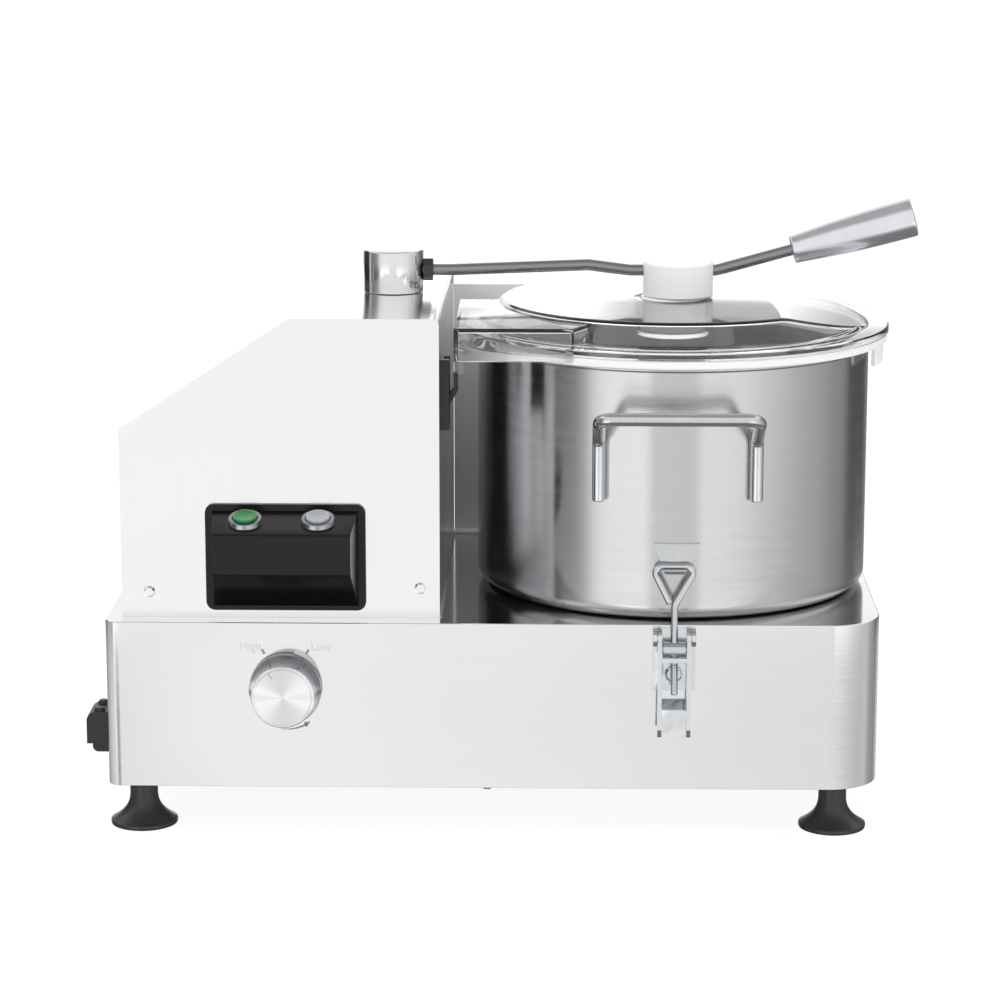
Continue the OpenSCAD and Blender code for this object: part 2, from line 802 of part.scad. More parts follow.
module motor_stator() {
    bore = rotor_d + 2 * air_gap;
    outer = motor_d - 2 * fin_h - 2 * casing_t;
    core = (motor_h - 2 * bell_t) * core_share;
    low = motor_z + (motor_h - core) / 2;
    color("saddlebrown")
    translate([motor_x, 0, low])
        difference() {
            union() {
                cylinder(d = outer, h = core, $fn = 96);
                translate([0, 0, -bell_t]) cylinder(d = outer - 2 * bell_t, h = core + 2 * bell_t, $fn = 96);
            }
            translate([0, 0, -bell_t - cut]) cylinder(d = bore, h = core + 2 * bell_t + 2 * cut, $fn = 96);
        }
}

module motor_rotor() {
    core = (motor_h - 2 * bell_t) * core_share;
    shaft_low = pulley_z - belt_w / 2 - bell_boss;
    shaft_high = motor_z + motor_h + fan_h + 3 * bell_boss;
    color("gray") {
        translate([motor_x, 0, shaft_low]) cylinder(d = shaft_d, h = shaft_high - shaft_low, $fn = 64);
        translate([motor_x, 0, motor_z + (motor_h - core) / 2]) cylinder(d = rotor_d, h = core, $fn = 96);
    }
}

module bearing(outer_d, inner_d, w) {
    race = (outer_d - inner_d) / 7;
    difference() {
        cylinder(d = outer_d - 2 * run_gap, h = w, $fn = 64);
        translate([0, 0, -cut]) cylinder(d = inner_d + 2 * run_gap, h = w + 2 * cut, $fn = 64);
        for (z = [-cut, w - race / 2])
            translate([0, 0, z])
                difference() {
                    cylinder(d = outer_d - 2 * race, h = race / 2 + cut, $fn = 64);
                    translate([0, 0, -cut]) cylinder(d = inner_d + 2 * race, h = race + 2 * cut, $fn = 64);
                }
    }
}

module motor_bearings() {
    color("silver")
    for (z = [motor_z + bell_boss, motor_z + motor_h - bell_boss - bearing_w])
        translate([motor_x, 0, z]) bearing(bearing_d, shaft_d, bearing_w);
}

fan_h = 14;
fan_d = 84;
fan_blades = 9;

module motor_fan() {
    z = motor_z + motor_h + bell_boss;
    color("black")
    translate([motor_x, 0, z])
        difference() {
            union() {
                cylinder(d = shaft_d + 3 * bell_boss, h = fan_h);
                cylinder(d = fan_d, h = bell_boss / 1.5, $fn = 96);
                for (i = [0:fan_blades - 1])
                    rotate(i * 360 / fan_blades)
                        translate([fan_d * 0.28, 0, 0])
                            rotate(24)
                                block([-fan_d * 0.18, -bell_boss / 3, 0], [fan_d * 0.18, bell_boss / 3, fan_h]);
            }
            translate([0, 0, -cut]) cylinder(d = shaft_d + 2 * run_gap, h = fan_h + 2 * cut, $fn = 64);
        }
}

// The motor stands on a plate over its hole in the base
motor_bolt_d = 8;
motor_bolt_spread = 0.85 * motor_d;
mount_plate_w = motor_bolt_spread + 2.4 * motor_bolt_d;

module motor_mount_plate() {
    color("lightgray")
    translate([motor_x, 0, base_top])
        difference() {
            slab([-mount_plate_w / 2, -mount_plate_w / 2, 0], [mount_plate_w / 2, mount_plate_w / 2, plate_t],
                 motor_bolt_d);
            translate([0, 0, -cut]) cylinder(d = motor_hole_d, h = plate_t + 2 * cut, $fn = 64);
            for (i = [-1, 1], j = [-1, 1])
                translate([i * motor_bolt_spread / 2, j * motor_bolt_spread / 2, -cut])
                    cylinder(d = motor_bolt_d + 2 * run_gap, h = plate_t + 2 * cut, $fn = 32);
        }
}

module motor_bolts() {
    color("silver")
    for (i = [-1, 1], j = [-1, 1])
        translate([motor_x + i * motor_bolt_spread / 2, j * motor_bolt_spread / 2, base_top]) {
            translate([0, 0, plate_t]) cylinder(d = 1.6 * motor_bolt_d, h = 0.6 * motor_bolt_d, $fn = 6);
            cylinder(d = motor_bolt_d, h = plate_t, $fn = 32);
        }
}

capacitor_d = 38;
capacitor_h = 78;
capacitor_gap = 6;

module run_capacitor() {
    x = housing_right - sheet_t - capacitor_d / 2 - screw_head_h;
    y = housing_back - capacitor_d / 2 - capacitor_gap;
    color("white")
    translate([x, y, base_top]) {
        cylinder(d = capacitor_d, h = capacitor_h, $fn = 64);
        translate([0, 0, capacitor_h]) cylinder(d = capacitor_d * 0.6, h = capacitor_d * 0.14);
    }
}

// Belt drive: two ribbed pulleys and the belt round them
pulley_z = base_z + base_h * 0.42;
flange_t = 2.5;
flange_proud = 3;
rib_depth = 1.4;
rib_count = 5;
belt_t = 3.2;

module pulley(pitch_d, bore_d, hub_d, hub_up) {
    run_r = pitch_d / 2 - belt_t / 2 - pass_gap;
    half = belt_w / 2 + pass_gap;
    pitch = 2 * half / rib_count;
    ribs = [for (i = [0:rib_count - 1]) each [
        [run_r, -half + i * pitch], [run_r - rib_depth, -half + (i + 0.5) * pitch]]];
    profile = concat([[bore_d / 2, -half - flange_t]], [[run_r + flange_proud, -half - flange_t],
        [run_r + flange_proud, -half - flange_t / 3]], ribs, [[run_r, half]],
        [[run_r + flange_proud, half + flange_t / 3], [run_r + flange_proud, half + flange_t],
         [hub_d / 2, half + flange_t], [hub_d / 2, half + flange_t + hub_up],
         [bore_d / 2, half + flange_t + hub_up]]);
    rotate_extrude($fn = 96) polygon(profile);
}

module motor_pulley() {
    color("gray")
    translate([motor_x, 0, pulley_z])
        pulley(motor_pulley_d, shaft_d + 2 * run_gap, 2 * shaft_d, 2 * flange_t);
}

module spindle_pulley() {
    color("gray")
    translate([bowl_x, 0, pulley_z])
        difference() {
            pulley(spindle_pulley_d, spindle_d + 2 * run_gap, 2 * spindle_d, 2 * flange_t);
            for (i = [0:4])
                rotate(i * 72)
                    translate([spindle_pulley_d * 0.29, 0, -belt_w - flange_t])
                        cylinder(d = spindle_pulley_d * 0.17, h = 2 * (belt_w + flange_t), $fn = 32);
        }
}

module drive_belt() {
    inner = [motor_pulley_d / 2 - belt_t / 2, spindle_pulley_d / 2 - belt_t / 2];
    color("black")
    translate([0, 0, pulley_z - belt_w / 2])
        linear_extrude(belt_w)
            difference() {
                belt_loop(inner[0] + belt_t, inner[1] + belt_t);
                belt_loop(inner[0], inner[1]);
            }
}

// The outline of a band round both pulleys
module belt_loop(r1, r2) {
    span = bowl_x - motor_x;
    lean = acos((r1 - r2) / span);
    steps = 24;
    polygon(concat(
        [for (i = [0:steps]) let (a = lean + (360 - 2 * lean) * i / steps) [motor_x + r1 * cos(a), r1 * sin(a)]],
        [for (i = [0:steps]) let (a = -lean + 2 * lean * i / steps) [bowl_x + r2 * cos(a), r2 * sin(a)]]));
}

// Spindle: runs in a flanged tube and drives the blade hub at its top
bearing_tube_d = 36;
tube_bore_d = 30;
tube_flange_d = 96;
tube_flange_t = 7;
small_bearing_w = 9;
bowl_floor = base_top;
bowl_tube_top = bowl_floor + bowl_t + centre_tube_h;
bearing_tube_top = bowl_tube_top - 8;
seal_h = 4;
hub_top = bowl_tube_top + 12;
hub_wall = 3.5;
drive_flat = 0.12;

module bearing_housing() {
    low = base_top - sheet_t - tube_flange_t;
    color("silver")
    translate([bowl_x, 0, 0])
        difference() {
            union() {
                translate([0, 0, low]) cylinder(d = tube_flange_d, h = tube_flange_t, $fn = 96);
                translate([0, 0, low - small_bearing_w]) cylinder(d = bearing_tube_d + 2 * tube_flange_t, h = small_bearing_w, $fn = 64);
                translate([0, 0, low]) cylinder(d = bearing_tube_d, h = bearing_tube_top - low, $fn = 64);
            }
            translate([0, 0, low - small_bearing_w - cut])
                cylinder(d = tube_bore_d, h = bearing_tube_top - low + small_bearing_w + 2 * cut, $fn = 64);
            for (i = [0:3])
                rotate(45 + i * 90)
                    translate([tube_flange_d * 0.41, 0, low - cut])
                        cylinder(d = screw_d + 2 * run_gap, h = tube_flange_t + 2 * cut, $fn = 32);
        }
}

module spindle_bearings() {
    low = base_top - sheet_t - tube_flange_t - small_bearing_w;
    color("silver")
    for (z = [low, bearing_tube_top - seal_h - small_bearing_w - pass_gap])
        translate([bowl_x, 0, z]) bearing(tube_bore_d, spindle_d, small_bearing_w);
}

module shaft_seal() {
    color("black")
    translate([bowl_x, 0, bearing_tube_top - seal_h])
        difference() {
            cylinder(d = tube_bore_d - 2 * run_gap, h = seal_h, $fn = 64);
            translate([0, 0, -cut]) cylinder(d = spindle_d + 2 * run_gap, h = seal_h + 2 * cut, $fn = 64);
        }
}

module spindle() {
    low = pulley_z - belt_w / 2 - 2 * flange_t;
    high = hub_top - hub_wall - pass_gap;
    color("silver")
    translate([bowl_x, 0, low])
        difference() {
            union() {
                cylinder(d = spindle_d, h = high - low, $fn = 64);
                cylinder(d = spindle_d * 0.64, h = high - low + 3 * hub_wall);
            }
            for (s = [-1, 1])
                translate([0, s * spindle_d * (1 - drive_flat), high - low - hub_wall * 2])
                    block([-spindle_d, -spindle_d / 2, 0], [spindle_d, spindle_d / 2, hub_wall * 2]);
        }
}

// Bowl: one spun shell with a rolled rim and a centre tube
rim_d = 3.4;
tube_top_r = 2.5;

module bowl() {
    r = bowl_d / 2;
    top = bowl_floor + bowl_h - pass_gap;
    tr = centre_tube_d / 2;
    tt = bowl_tube_top;
    bead = rim_d / 2;
    outer = concat(
        [[tr - bowl_t, bowl_floor]],
        corner([0, bowl_floor], [r, bowl_floor], [r, top], bowl_r, 8),
        [for (a = [-90:22.5:90]) [r + bead * cos(a), top - bead + bead * sin(a)]]);
    inner = concat(
        [[r - bowl_t, top]],
        corner([r - bowl_t, top], [r - bowl_t, bowl_floor + bowl_t], [0, bowl_floor + bowl_t], bowl_r - bowl_t, 8),
        [[tr, bowl_floor + bowl_t], [tr, tt - tube_top_r], [tr - tube_top_r, tt], [tr - bowl_t - tube_top_r, tt],
         [tr - bowl_t - tube_top_r, tt - bowl_t], [tr - bowl_t, tt - 2 * bowl_t - tube_top_r]]);
    color("silver")
    translate([bowl_x, 0, 0]) rotate_extrude($fn = 128) polygon(concat(outer, inner));
}

// Bent-rod handles at the front and back of the bowl
handle_w = 0.386 * bowl_d;
handle_rod_d = 8;
handle_leg_low = base_top + 0.472 * bowl_h;
handle_bend_z = base_top + 0.711 * bowl_h;
handle_top_z = base_top + 0.827 * bowl_h;
handle_out = 0.127 * bowl_d;
handle_r = 8;

module handle() {
    leg_y = -sqrt(pow(bowl_d / 2 + handle_rod_d / 2, 2) - pow(handle_w / 2, 2));
    half = handle_w / 2;
    out_y = leg_y - handle_out;
    bent_rod([
        [-half, leg_y, handle_leg_low], [-half, leg_y, handle_bend_z], [-half, out_y, handle_top_z],
        [half, out_y, handle_top_z], [half, leg_y, handle_bend_z], [half, leg_y, handle_leg_low]
    ], handle_rod_d, handle_r);
}

module bowl_handles() {
    color("silver")
    translate([bowl_x, 0, 0])
        for (a = [0, 180]) rotate(a) handle();
}

// Catch plates on the bowl, curled outwards and up under the hook's bar
catch_w = 28.8;
catch_neck_w = 20;
catch_lip_w = 15.2;
catch_tip_w = 10.8;
catch_t = 1.6;
catch_top = base_top + 49.5;
hook_bar_z = base_top + 36;
hook_clear_in = 0.7;
hook_clear_out = 1.7;
hook_clear_under = 0.4;
bar_out = catch_t + hook_clear_in + hook_d / 2;
lip_rise = 1.2;
catch_r = 3;

module catch_plate() {
    wall_y = -bowl_d / 2;
    reach = hook_clear_in + hook_d + hook_clear_out;
    low = hook_bar_z - hook_d / 2 - hook_clear_under - catch_t;
    r = catch_r;
    seat_y = wall_y + 0.6 * catch_t;
    lip_z = hook_bar_z - hook_d / 2 + lip_rise;
    neck_z = hook_bar_z + hook_d / 2;
    strip = concat(
        [[seat_y, catch_top], [seat_y, low + r]],
        corner([wall_y, low + 2 * r], [wall_y, low], [wall_y - 2 * r, low], r, 5),
        corner([wall_y, low], [wall_y - reach - 2 * catch_t, low], [wall_y - reach - 2 * catch_t, low + 2 * r], r, 5),
        [[wall_y - reach - 2 * catch_t, lip_z], [wall_y - reach - catch_t, lip_z]],
        corner([wall_y - reach - catch_t, low + 2 * r], [wall_y - reach - catch_t, low + catch_t],
               [wall_y, low + catch_t], r - catch_t, 5),
        corner([wall_y - reach, low + catch_t], [wall_y - catch_t, low + catch_t], [wall_y - catch_t, catch_top],
               r - catch_t, 5),
        [[wall_y - catch_t, catch_top]]);
    difference() {
        intersection() {
            translate([-catch_w / 2, 0, 0])
                rotate([90, 0, 90]) linear_extrude(catch_w) polygon(strip);
            translate([0, wall_y + catch_w, 0])
                rotate([90, 0, 0])
                    linear_extrude(2 * catch_w)
                        polygon([[-catch_w / 2, catch_top + cut], [-catch_neck_w / 2, neck_z],
                                 [latch_shift - catch_lip_w / 2, lip_z], [latch_shift - catch_tip_w / 2, low - run_gap],
                                 [latch_shift + catch_tip_w / 2, low - run_gap], [latch_shift + catch_lip_w / 2, lip_z],
                                 [catch_neck_w / 2, neck_z], [catch_w / 2, catch_top + cut]]);
        }
        cylinder(d = bowl_d, h = catch_top + cut, $fn = 256);
    }
}

module bowl_catches() {
    color("silver")
    translate([bowl_x, 0, 0]) {
        catch_plate();
        rotate(180) catch_plate();
    }
}

// Blade hub, two pairs of curved knives and a nut on top
hub_gap = 1.5;
hub_low = bowl_floor + bowl_t + 4;
blade_t = 2.4;
blade_root_w = 34;
blade_tip_w = 13;
blade_sweep = 38;
lower_blade_z = bowl_floor + bowl_t + 6;
upper_blade_z = bowl_floor + bowl_t + 34;
hub_r = centre_tube_d / 2 + hub_gap + hub_wall;
blade_reach = bowl_d / 2 - bowl_t - blade_gap;
blade_seat_r = hub_r + 2.5;

module blade_hub() {
    bore = centre_tube_d / 2 + hub_gap;
    color("dimgray")
    translate([bowl_x, 0, 0])
        difference() {
            rotate_extrude($fn = 96)
                polygon([[bore, hub_low], [blade_seat_r, hub_low], [blade_seat_r, lower_blade_z],
                         [hub_r, lower_blade_z], [hub_r, hub_top - 2 * hub_wall],
                         [hub_r - 1.6 * hub_wall, hub_top], [0, hub_top],
                         [0, hub_top - hub_wall], [bore - hub_wall / 2, hub_top - hub_wall],
                         [bore, hub_top - 1.5 * hub_wall]]);
            translate([0, 0, hub_top - hub_wall - cut])
                cylinder(d = spindle_d * 0.64, h = hub_wall + 2 * cut);
        }
}

// One knife: a sickle from the hub ring outwards, its edge on the outer curve
function knife_side(side) = [for (i = [0:16]) let (t = i / 16)
    let (r = hub_r - 0.5 * hub_wall + (blade_reach - hub_r + 0.5 * hub_wall) * t)
    let (half = (blade_root_w + (blade_tip_w - blade_root_w) * pow(t, 0.8)) / 2 * (t > 0.94 ? 0.55 : 1))
    let (a = -blade_sweep * pow(t, 1.6) + side * asin(min(half / r, 0.95)))
    [r * cos(a), r * sin(a)]];

module knife_pair(z) {
    difference() {
        union() {
            cylinder(r = blade_seat_r + 2.5, h = blade_t, $fn = 64);
            for (k = [0, 1])
                rotate(k * 180)
                    linear_extrude(blade_t)
                        polygon(concat(knife_side(1), [for (i = [16:-1:0]) knife_side(-1)[i]]));
        }
        translate([0, 0, -cut]) cylinder(r = hub_r + run_gap, h = blade_t + 2 * cut, $fn = 96);
        for (k = [0, 1])
            rotate(k * 180)
                translate([0, 0, blade_t / 2])
                    linear_extrude(blade_t)
                        polygon(concat(knife_side(-1),
                            [for (i = [16:-1:2]) let (p = knife_side(-1)[i], q = knife_side(1)[i])
                                p + unit(q - p) * blade_tip_w * 0.32]));
    }
}

module lower_blade() {
    color("lightsteelblue") translate([bowl_x, 0, lower_blade_z]) rotate(25) knife_pair();
}

module upper_blade() {
    color("lightsteelblue") translate([bowl_x, 0, upper_blade_z]) rotate(115) knife_pair();
}

module blade_nut() {
    nut_d = 24;
    nut_h = 10;
    lobes = 8;
    color("silver")
    translate([bowl_x, 0, hub_top])
        difference() {
            cylinder(d = nut_d, h = nut_h, $fn = 64);
            for (i = [0:lobes - 1])
                rotate(i * 360 / lobes)
                    translate([nut_d * 0.56, 0, -cut]) cylinder(d = nut_d * 0.2, h = nut_h + 2 * cut, $fn = 24);
            translate([0, 0, -cut])
                cylinder(d = spindle_d * 0.64 + 2 * run_gap, h = 3 * hub_wall - nut_h * 0.2);
        }
}

// Lid: clear moulding with a flange, a raised top, a hood towards the housing, and a collar
lid_floor = bowl_floor + bowl_h;
seal_top = lid_floor + seal_t;
flange_top = seal_top + lid_flange_t;
lid_top = flange_top + lid_rise;
lid_d = bowl_d + 2 * lid_overhang;
lid_side_d = bowl_d - 1;
lid_top_d = lid_side_d - 2 * lid_taper;
facet_x = 0.263 * bowl_d;
facet_angle = atan2(lid_rise, lid_side_d / 2 - facet_x);
spigot_d = bowl_d - 2 * bowl_t - 5;
spigot_h = 8;
collar_d = 51;
collar_low_d = 47;
collar_step_z = flange_top - 1;
hood_clear = 9;
hood_out = 0.486 * bowl_d;
hood_left = bowl_d / 2 + bowl_gap - hood_clear;
hood_right = 0.255 * bowl_d;
hood_back_x = 0.16 * bowl_d;
hood_back_y = 0.283 * bowl_d;
hood_drop = 2;
hood_low = 3;
tab_r = lid_d / 2 - 3;
tab_h = 12;
tab_half_angle = 21;
prong_in = 2;
prong_w = 3;
prong_t = 5;
prong_h = 12;
hood_bottom = seal_top - hood_low;

// Everything above the sloping right facet of the raised top
module facet_cut(inset) {
    translate([facet_x, 0, lid_top])
        rotate([0, facet_angle, 0])
            translate([-lid_d, -lid_d / 2, -inset]) cube([3 * lid_d, lid_d, lid_d]);
}

module lid_hump() {
    difference() {
        translate([0, 0, flange_top - lid_t]) {
            cylinder(d = lid_side_d, h = lid_t, $fn = 128);
            translate([0, 0, lid_t]) cylinder(d1 = lid_side_d, d2 = lid_top_d, h = lid_rise, $fn = 128);
        }
        facet_cut(0);
    }
}

module lid_cavity() {
    r = lid_side_d / 2 - lid_t;
    top_r = lid_top_d / 2 - lid_t;
    difference() {
        rotate_extrude($fn = 128)
            polygon([[0, seal_top - cut], [r, seal_top - cut], [r, flange_top], [top_r, lid_top - lid_t],
                     [0, lid_top - lid_t]]);
        facet_cut(lid_t);
    }
}

module hood_plan(inset) {
    polygon(rounded([
        [-hood_left + inset, -hood_out + inset], [-hood_right + (inset > 0 ? -inset * 0.6 : 0), -hood_out + inset],
        [-hood_back_x - inset, -hood_back_y + inset * 0.3], [-hood_back_x, 0], [-hood_left + inset, 0]
    ], [4 - inset, 4 - inset, 0, 0, 0]));
}

module lid_shell() {
    ceiling = lid_top - hood_drop - lid_t;
    color("aliceblue", 0.4)
    translate([bowl_x, 0, 0]) {
        difference() {
            union() {
                translate([0, 0, seal_top]) cylinder(d = lid_d, h = lid_flange_t, $fn = 128);
                lid_hump();
                translate([0, 0, hood_bottom]) linear_extrude(ceiling + lid_t - hood_bottom) hood_plan(0);
            }
            lid_cavity();
            difference() {
                translate([0, 0, hood_bottom - cut])
                    linear_extrude(ceiling - hood_bottom + cut) hood_plan(lid_t);
                translate([0, 0, hood_bottom - 2 * cut])
                    cylinder(d = lid_d, h = flange_top - hood_bottom + 2 * cut, $fn = 128);
                lid_hump();
            }
            translate([0, 0, lid_floor - cut]) cylinder(d = lid_d + pass_gap, h = seal_t + cut, $fn = 128);
            translate([0, 0, lid_top - 4 * lid_t]) cylinder(d = lid_knob_d + 2 * pass_gap, h = 5 * lid_t, $fn = 96);
        }
        block([prong_in - hood_left, switch_y - prong_t / 2, hood_bottom - prong_h],
              [prong_in - hood_left + prong_w, switch_y + prong_t / 2, hood_bottom + 2 * prong_w]);
        difference() {
            union() {
                translate([0, 0, collar_step_z]) cylinder(d = collar_d, h = lid_top - lid_t / 2 - collar_step_z, $fn = 96);
                translate([0, 0, lid_floor]) cylinder(d = collar_low_d, h = collar_step_z - lid_floor + lid_t / 2, $fn = 96);
            }
            translate([0, 0, lid_floor + lid_t]) cylinder(d = lid_knob_d + 2 * pass_gap, h = lid_top, $fn = 96);
        }
    }
}

module lid_seal() {
    color("white")
    translate([bowl_x, 0, lid_floor]) {
        difference() {
            union() {
                cylinder(d = lid_d - 2, h = seal_t, $fn = 128);
                translate([0, 0, -spigot_h]) cylinder(d = spigot_d, h = spigot_h, $fn = 128);
            }
            translate([0, 0, -spigot_h - cut])
                cylinder(d = spigot_d - 2 * lid_t, h = spigot_h + seal_t + 2 * cut, $fn = 128);
        }
        rotate(-tab_half_angle)
            rotate_extrude(angle = 2 * tab_half_angle, $fn = 128)
                translate([tab_r - lid_t, -tab_h]) square([lid_t, tab_h + seal_t / 2]);
    }
}

module lid_knob() {
    low = lid_floor + lid_t + pass_gap;
    color("white")
    translate([bowl_x, 0, low])
        rotate_extrude($fn = 96)
            polygon([[0, 0], [lid_knob_d / 2, 0], [lid_knob_d / 2, lid_top - low + pass_gap],
                     [lid_knob_d / 2 - lid_t / 3, lid_top - low + 2 * pass_gap + lid_t / 8],
                     [0, lid_top - low + 2 * pass_gap + lid_t / 8]]);
}

// Arm: a post on a stud, a bent rod, a pressure pad and a grip
knob_crown = lid_top + 2 * pass_gap + lid_t / 8;
pad_low = knob_crown + pass_gap;
rod_z = housing_top + 14;
arm_bump_x = bowl_x - 54.5;
arm_bump_z = rod_z + 3.4;
arm_dip_x = bowl_x - 28.5;
arm_rise_x = bowl_x + 27;
pad_x = bowl_x + 3;
rod_r = 16;
grip_start_x = bowl_x + grip_gap_x;
stud_h = 7;
stud_flange_d = 30;
nut_w = 12.5;
nut_t = 6.2;

function grip_point(along) =
    [grip_start_x + along * cos(grip_rise), 0,
     rod_z + (grip_start_x - arm_rise_x) * tan(grip_rise) + along * sin(grip_rise)];

module arm_pivot_stud() {
    color("silver")
    translate([post_x, 0, housing_top - sheet_t]) {
        translate([0, 0, -bell_boss]) cylinder(d = stud_flange_d, h = bell_boss, $fn = 64);
        cylinder(d = stud_d, h = stud_h + sheet_t, $fn = 64);
    }
}

module arm_post() {
    chamfer = 1;
    low = housing_top + pass_gap;
    color("silver")
    difference() {
        translate([post_x, 0, low])
            rotate_extrude($fn = 96)
                polygon([[stud_d / 2 + run_gap, 0], [post_d / 2 - chamfer / 2, 0], [post_d / 2, chamfer / 2],
                         [post_d / 2, post_h - chamfer], [post_d / 2 - chamfer, post_h], [0, post_h],
                         [0, stud_h + pass_gap], [stud_d / 2 + run_gap, stud_h + pass_gap]]);
        translate([post_x - post_d / 2 + 4 * chamfer, 0, rod_z])
            rotate([0, 90, 0]) cylinder(d = rod_d + 2 * run_gap, h = post_d);
    }
}

module arm_nut() {
    color("dimgray")
    translate([post_x + post_d / 2 + run_gap, 0, rod_z])
        rotate([0, 90, 0])
            difference() {
                cylinder(d = nut_w / cos(30), h = nut_t, $fn = 6);
                translate([0, 0, -cut]) cylinder(d = rod_d + 2 * run_gap, h = nut_t + 2 * cut);
            }
}

module arm_rod() {
    color("gray")
    bent_rod([
        [post_x - post_d / 2 + post_d * 0.14, 0, rod_z], [post_x + post_d, 0, rod_z],
        [arm_bump_x, 0, arm_bump_z], [arm_dip_x, 0, rod_z], [arm_rise_x, 0, rod_z],
        grip_point(grip_len * 0.8)
    ], rod_d, rod_r);
}

module arm_pad() {
    edge = 4;
    r = pad_d / 2;
    pad_h = rod_z + pad_over_rod - pad_low;
    color("white")
    difference() {
        translate([pad_x, 0, pad_low])
            rotate_extrude($fn = 96)
                polygon(concat([[0, 0], [r - 0.2 * edge, 0], [r, 0.2 * edge]],
                    corner([r, 0], [r, pad_h], [0, pad_h], edge, 6), [[0, pad_h]]));
        translate([pad_x - pad_d, 0, rod_z])
            rotate([0, 90, 0]) cylinder(d = rod_d + 2 * run_gap, h = 2 * pad_d);
    }
}

module arm_grip() {
    tip = grip_tip;
    profile = concat([[0, 0], [grip_small_d / 2 - tip, 0], [grip_small_d / 2, tip]],
        [for (i = [1:9]) let (t = i / 10)
            [grip_small_d / 2 + (grip_d - grip_small_d) / 2 * (t + 0.28 * sin(180 * t)), tip + (grip_len - 2 * tip) * t]],
        [[grip_d / 2, grip_len - tip], [grip_d / 2 - tip, grip_len], [0, grip_len]]);
    color("silver")
    translate(grip_point(0))
        rotate([0, 90 - grip_rise, 0])
            difference() {
                rotate_extrude($fn = 96) polygon(profile);
                translate([0, 0, -cut]) cylinder(d = rod_d + 2 * run_gap, h = grip_len * 0.8 + pass_gap + cut);
            }
}

// Lid switch on the housing's right wall, with a bent lever
lever_pin_d = 3;
lever_t = 2.6;
lever_w = 8;
lever_pin_z = switch_z - switch_h * 0.16;
lever_out = 6.8;
lever_kink = 9;
lever_up = 20;
lever_pin_in = 2.5;

module lid_switch() {
    color("dimgray")
    translate([housing_right + run_gap, switch_y, 0])
        difference() {
            union() {
                block([0, -switch_w / 2, switch_z - switch_h / 2], [switch_out, switch_w / 2, switch_z + switch_h / 2]);
                translate([-sheet_t - 2 * switch_out, 0, switch_z])
                    rotate([0, 90, 0]) cylinder(d = switch_neck_d, h = sheet_t + 2 * switch_out);
            }
            block([switch_out / 3, -lever_w / 2 - pass_gap, lever_pin_z - lever_w / 2],
                  [switch_out + cut, lever_w / 2 + pass_gap, switch_z + switch_h / 2 + cut]);
            translate([switch_out * 0.7, lever_w / 2 + lever_pin_in + pass_gap, lever_pin_z])
                rotate([90, 0, 0])
                    cylinder(d = lever_pin_d, h = lever_w + 2 * (lever_pin_in + pass_gap));
        }
}

module lid_switch_lever() {
    x = housing_right + run_gap + switch_out * 0.7;
    color("dimgray")
    translate([x, switch_y + lever_w / 2, lever_pin_z])
        rotate([90, 0, 0]) {
            linear_extrude(lever_w)
                polygon([[-lever_t / 2, -lever_t / 2], [lever_t / 2, -lever_t / 2], [lever_out, lever_kink],
                         [lever_out, lever_up], [lever_out - lever_t, lever_up],
                         [lever_out - lever_t, lever_kink + lever_t / 2], [-lever_t / 2, lever_t]]);
            translate([0, 0, -lever_pin_in])
                cylinder(d = lever_pin_d - 2 * run_gap, h = lever_w + 2 * lever_pin_in);
        }
}

// Toggle latches: plate with ears, lever with two rails, threaded rod with a wire loop
latch_top_gap = 1.4;
latch_top = base_top - latch_top_gap;
latch_t = 1.5;
ear_t = 2.6;
ear_r = 5.5;
pivot_out = 7.5;
pivot_z = base_top - 6.5;
trunnion_drop = 7.3;
trunnion_z = pivot_z - trunnion_drop;
pivot_pin_d = 5;
rail_gap = 0.4;
rail_t = 2.6;
rail_in = latch_w / 2 - ear_t - rail_gap - rail_t;
rail_r = 5;
trunnion_d = 9.5;
trunnion_pin_d = 4;
mount_screw_z = base_top - 30.5;
mount_screw_d = 10.8;
mount_screw_h = 2.4;
thread_low = base_top - 41;
thread_pitch = 1.6;
hook_neck_z = base_top + 12.5;
latch_shift = -1.5;
bar_y = -bowl_d / 2 - bar_out;
pivot_y = front_y - pivot_out;
hook_lean = atan2(bar_y - pivot_y, hook_bar_z - trunnion_z);

module latch_plate() {
    block([-latch_w / 2, front_y - latch_t, latch_top - latch_h], [latch_w / 2, front_y, latch_top]);
    for (s = [-1, 1])
        translate([s * (latch_w / 2 - ear_t / 2), 0, 0])
            difference() {
                union() {
                    block([-ear_t / 2, pivot_y, pivot_z - ear_r], [ear_t / 2, front_y, latch_top]);
                    translate([-ear_t / 2, pivot_y, pivot_z])
                        rotate([0, 90, 0]) cylinder(r = latch_top - pivot_z, h = ear_t);
                }
                translate([-ear_t, pivot_y, pivot_z])
                    rotate([0, 90, 0]) cylinder(d = pivot_pin_d, h = 2 * ear_t);
            }
    translate([0, front_y - latch_t, mount_screw_z])
        rotate([90, 0, 0])
            cylinder(d1 = mount_screw_d, d2 = mount_screw_d * 0.75, h = mount_screw_h);
}

module latch_plates() {
    color("silver")
    translate([bowl_x, 0, 0])
        for (a = [0, 180]) rotate(a) translate([latch_shift, 0, 0]) latch_plate();
}

module latch_pins() {
    color("gray")
    translate([bowl_x, 0, 0])
        for (a = [0, 180], s = [-1, 1])
            rotate(a)
                translate([latch_shift + (s > 0 ? rail_in : -rail_in - rail_t - rail_gap - ear_t), pivot_y, pivot_z])
                    rotate([0, 90, 0])
                        cylinder(d = pivot_pin_d - 2 * run_gap, h = rail_t + rail_gap + ear_t);
}

lever_web_low = 14;
lever_web_high = 11;
lever_web_out = 5;
lever_tab = 17;
lever_tab_t = 2;
lever_tab_out = 9;

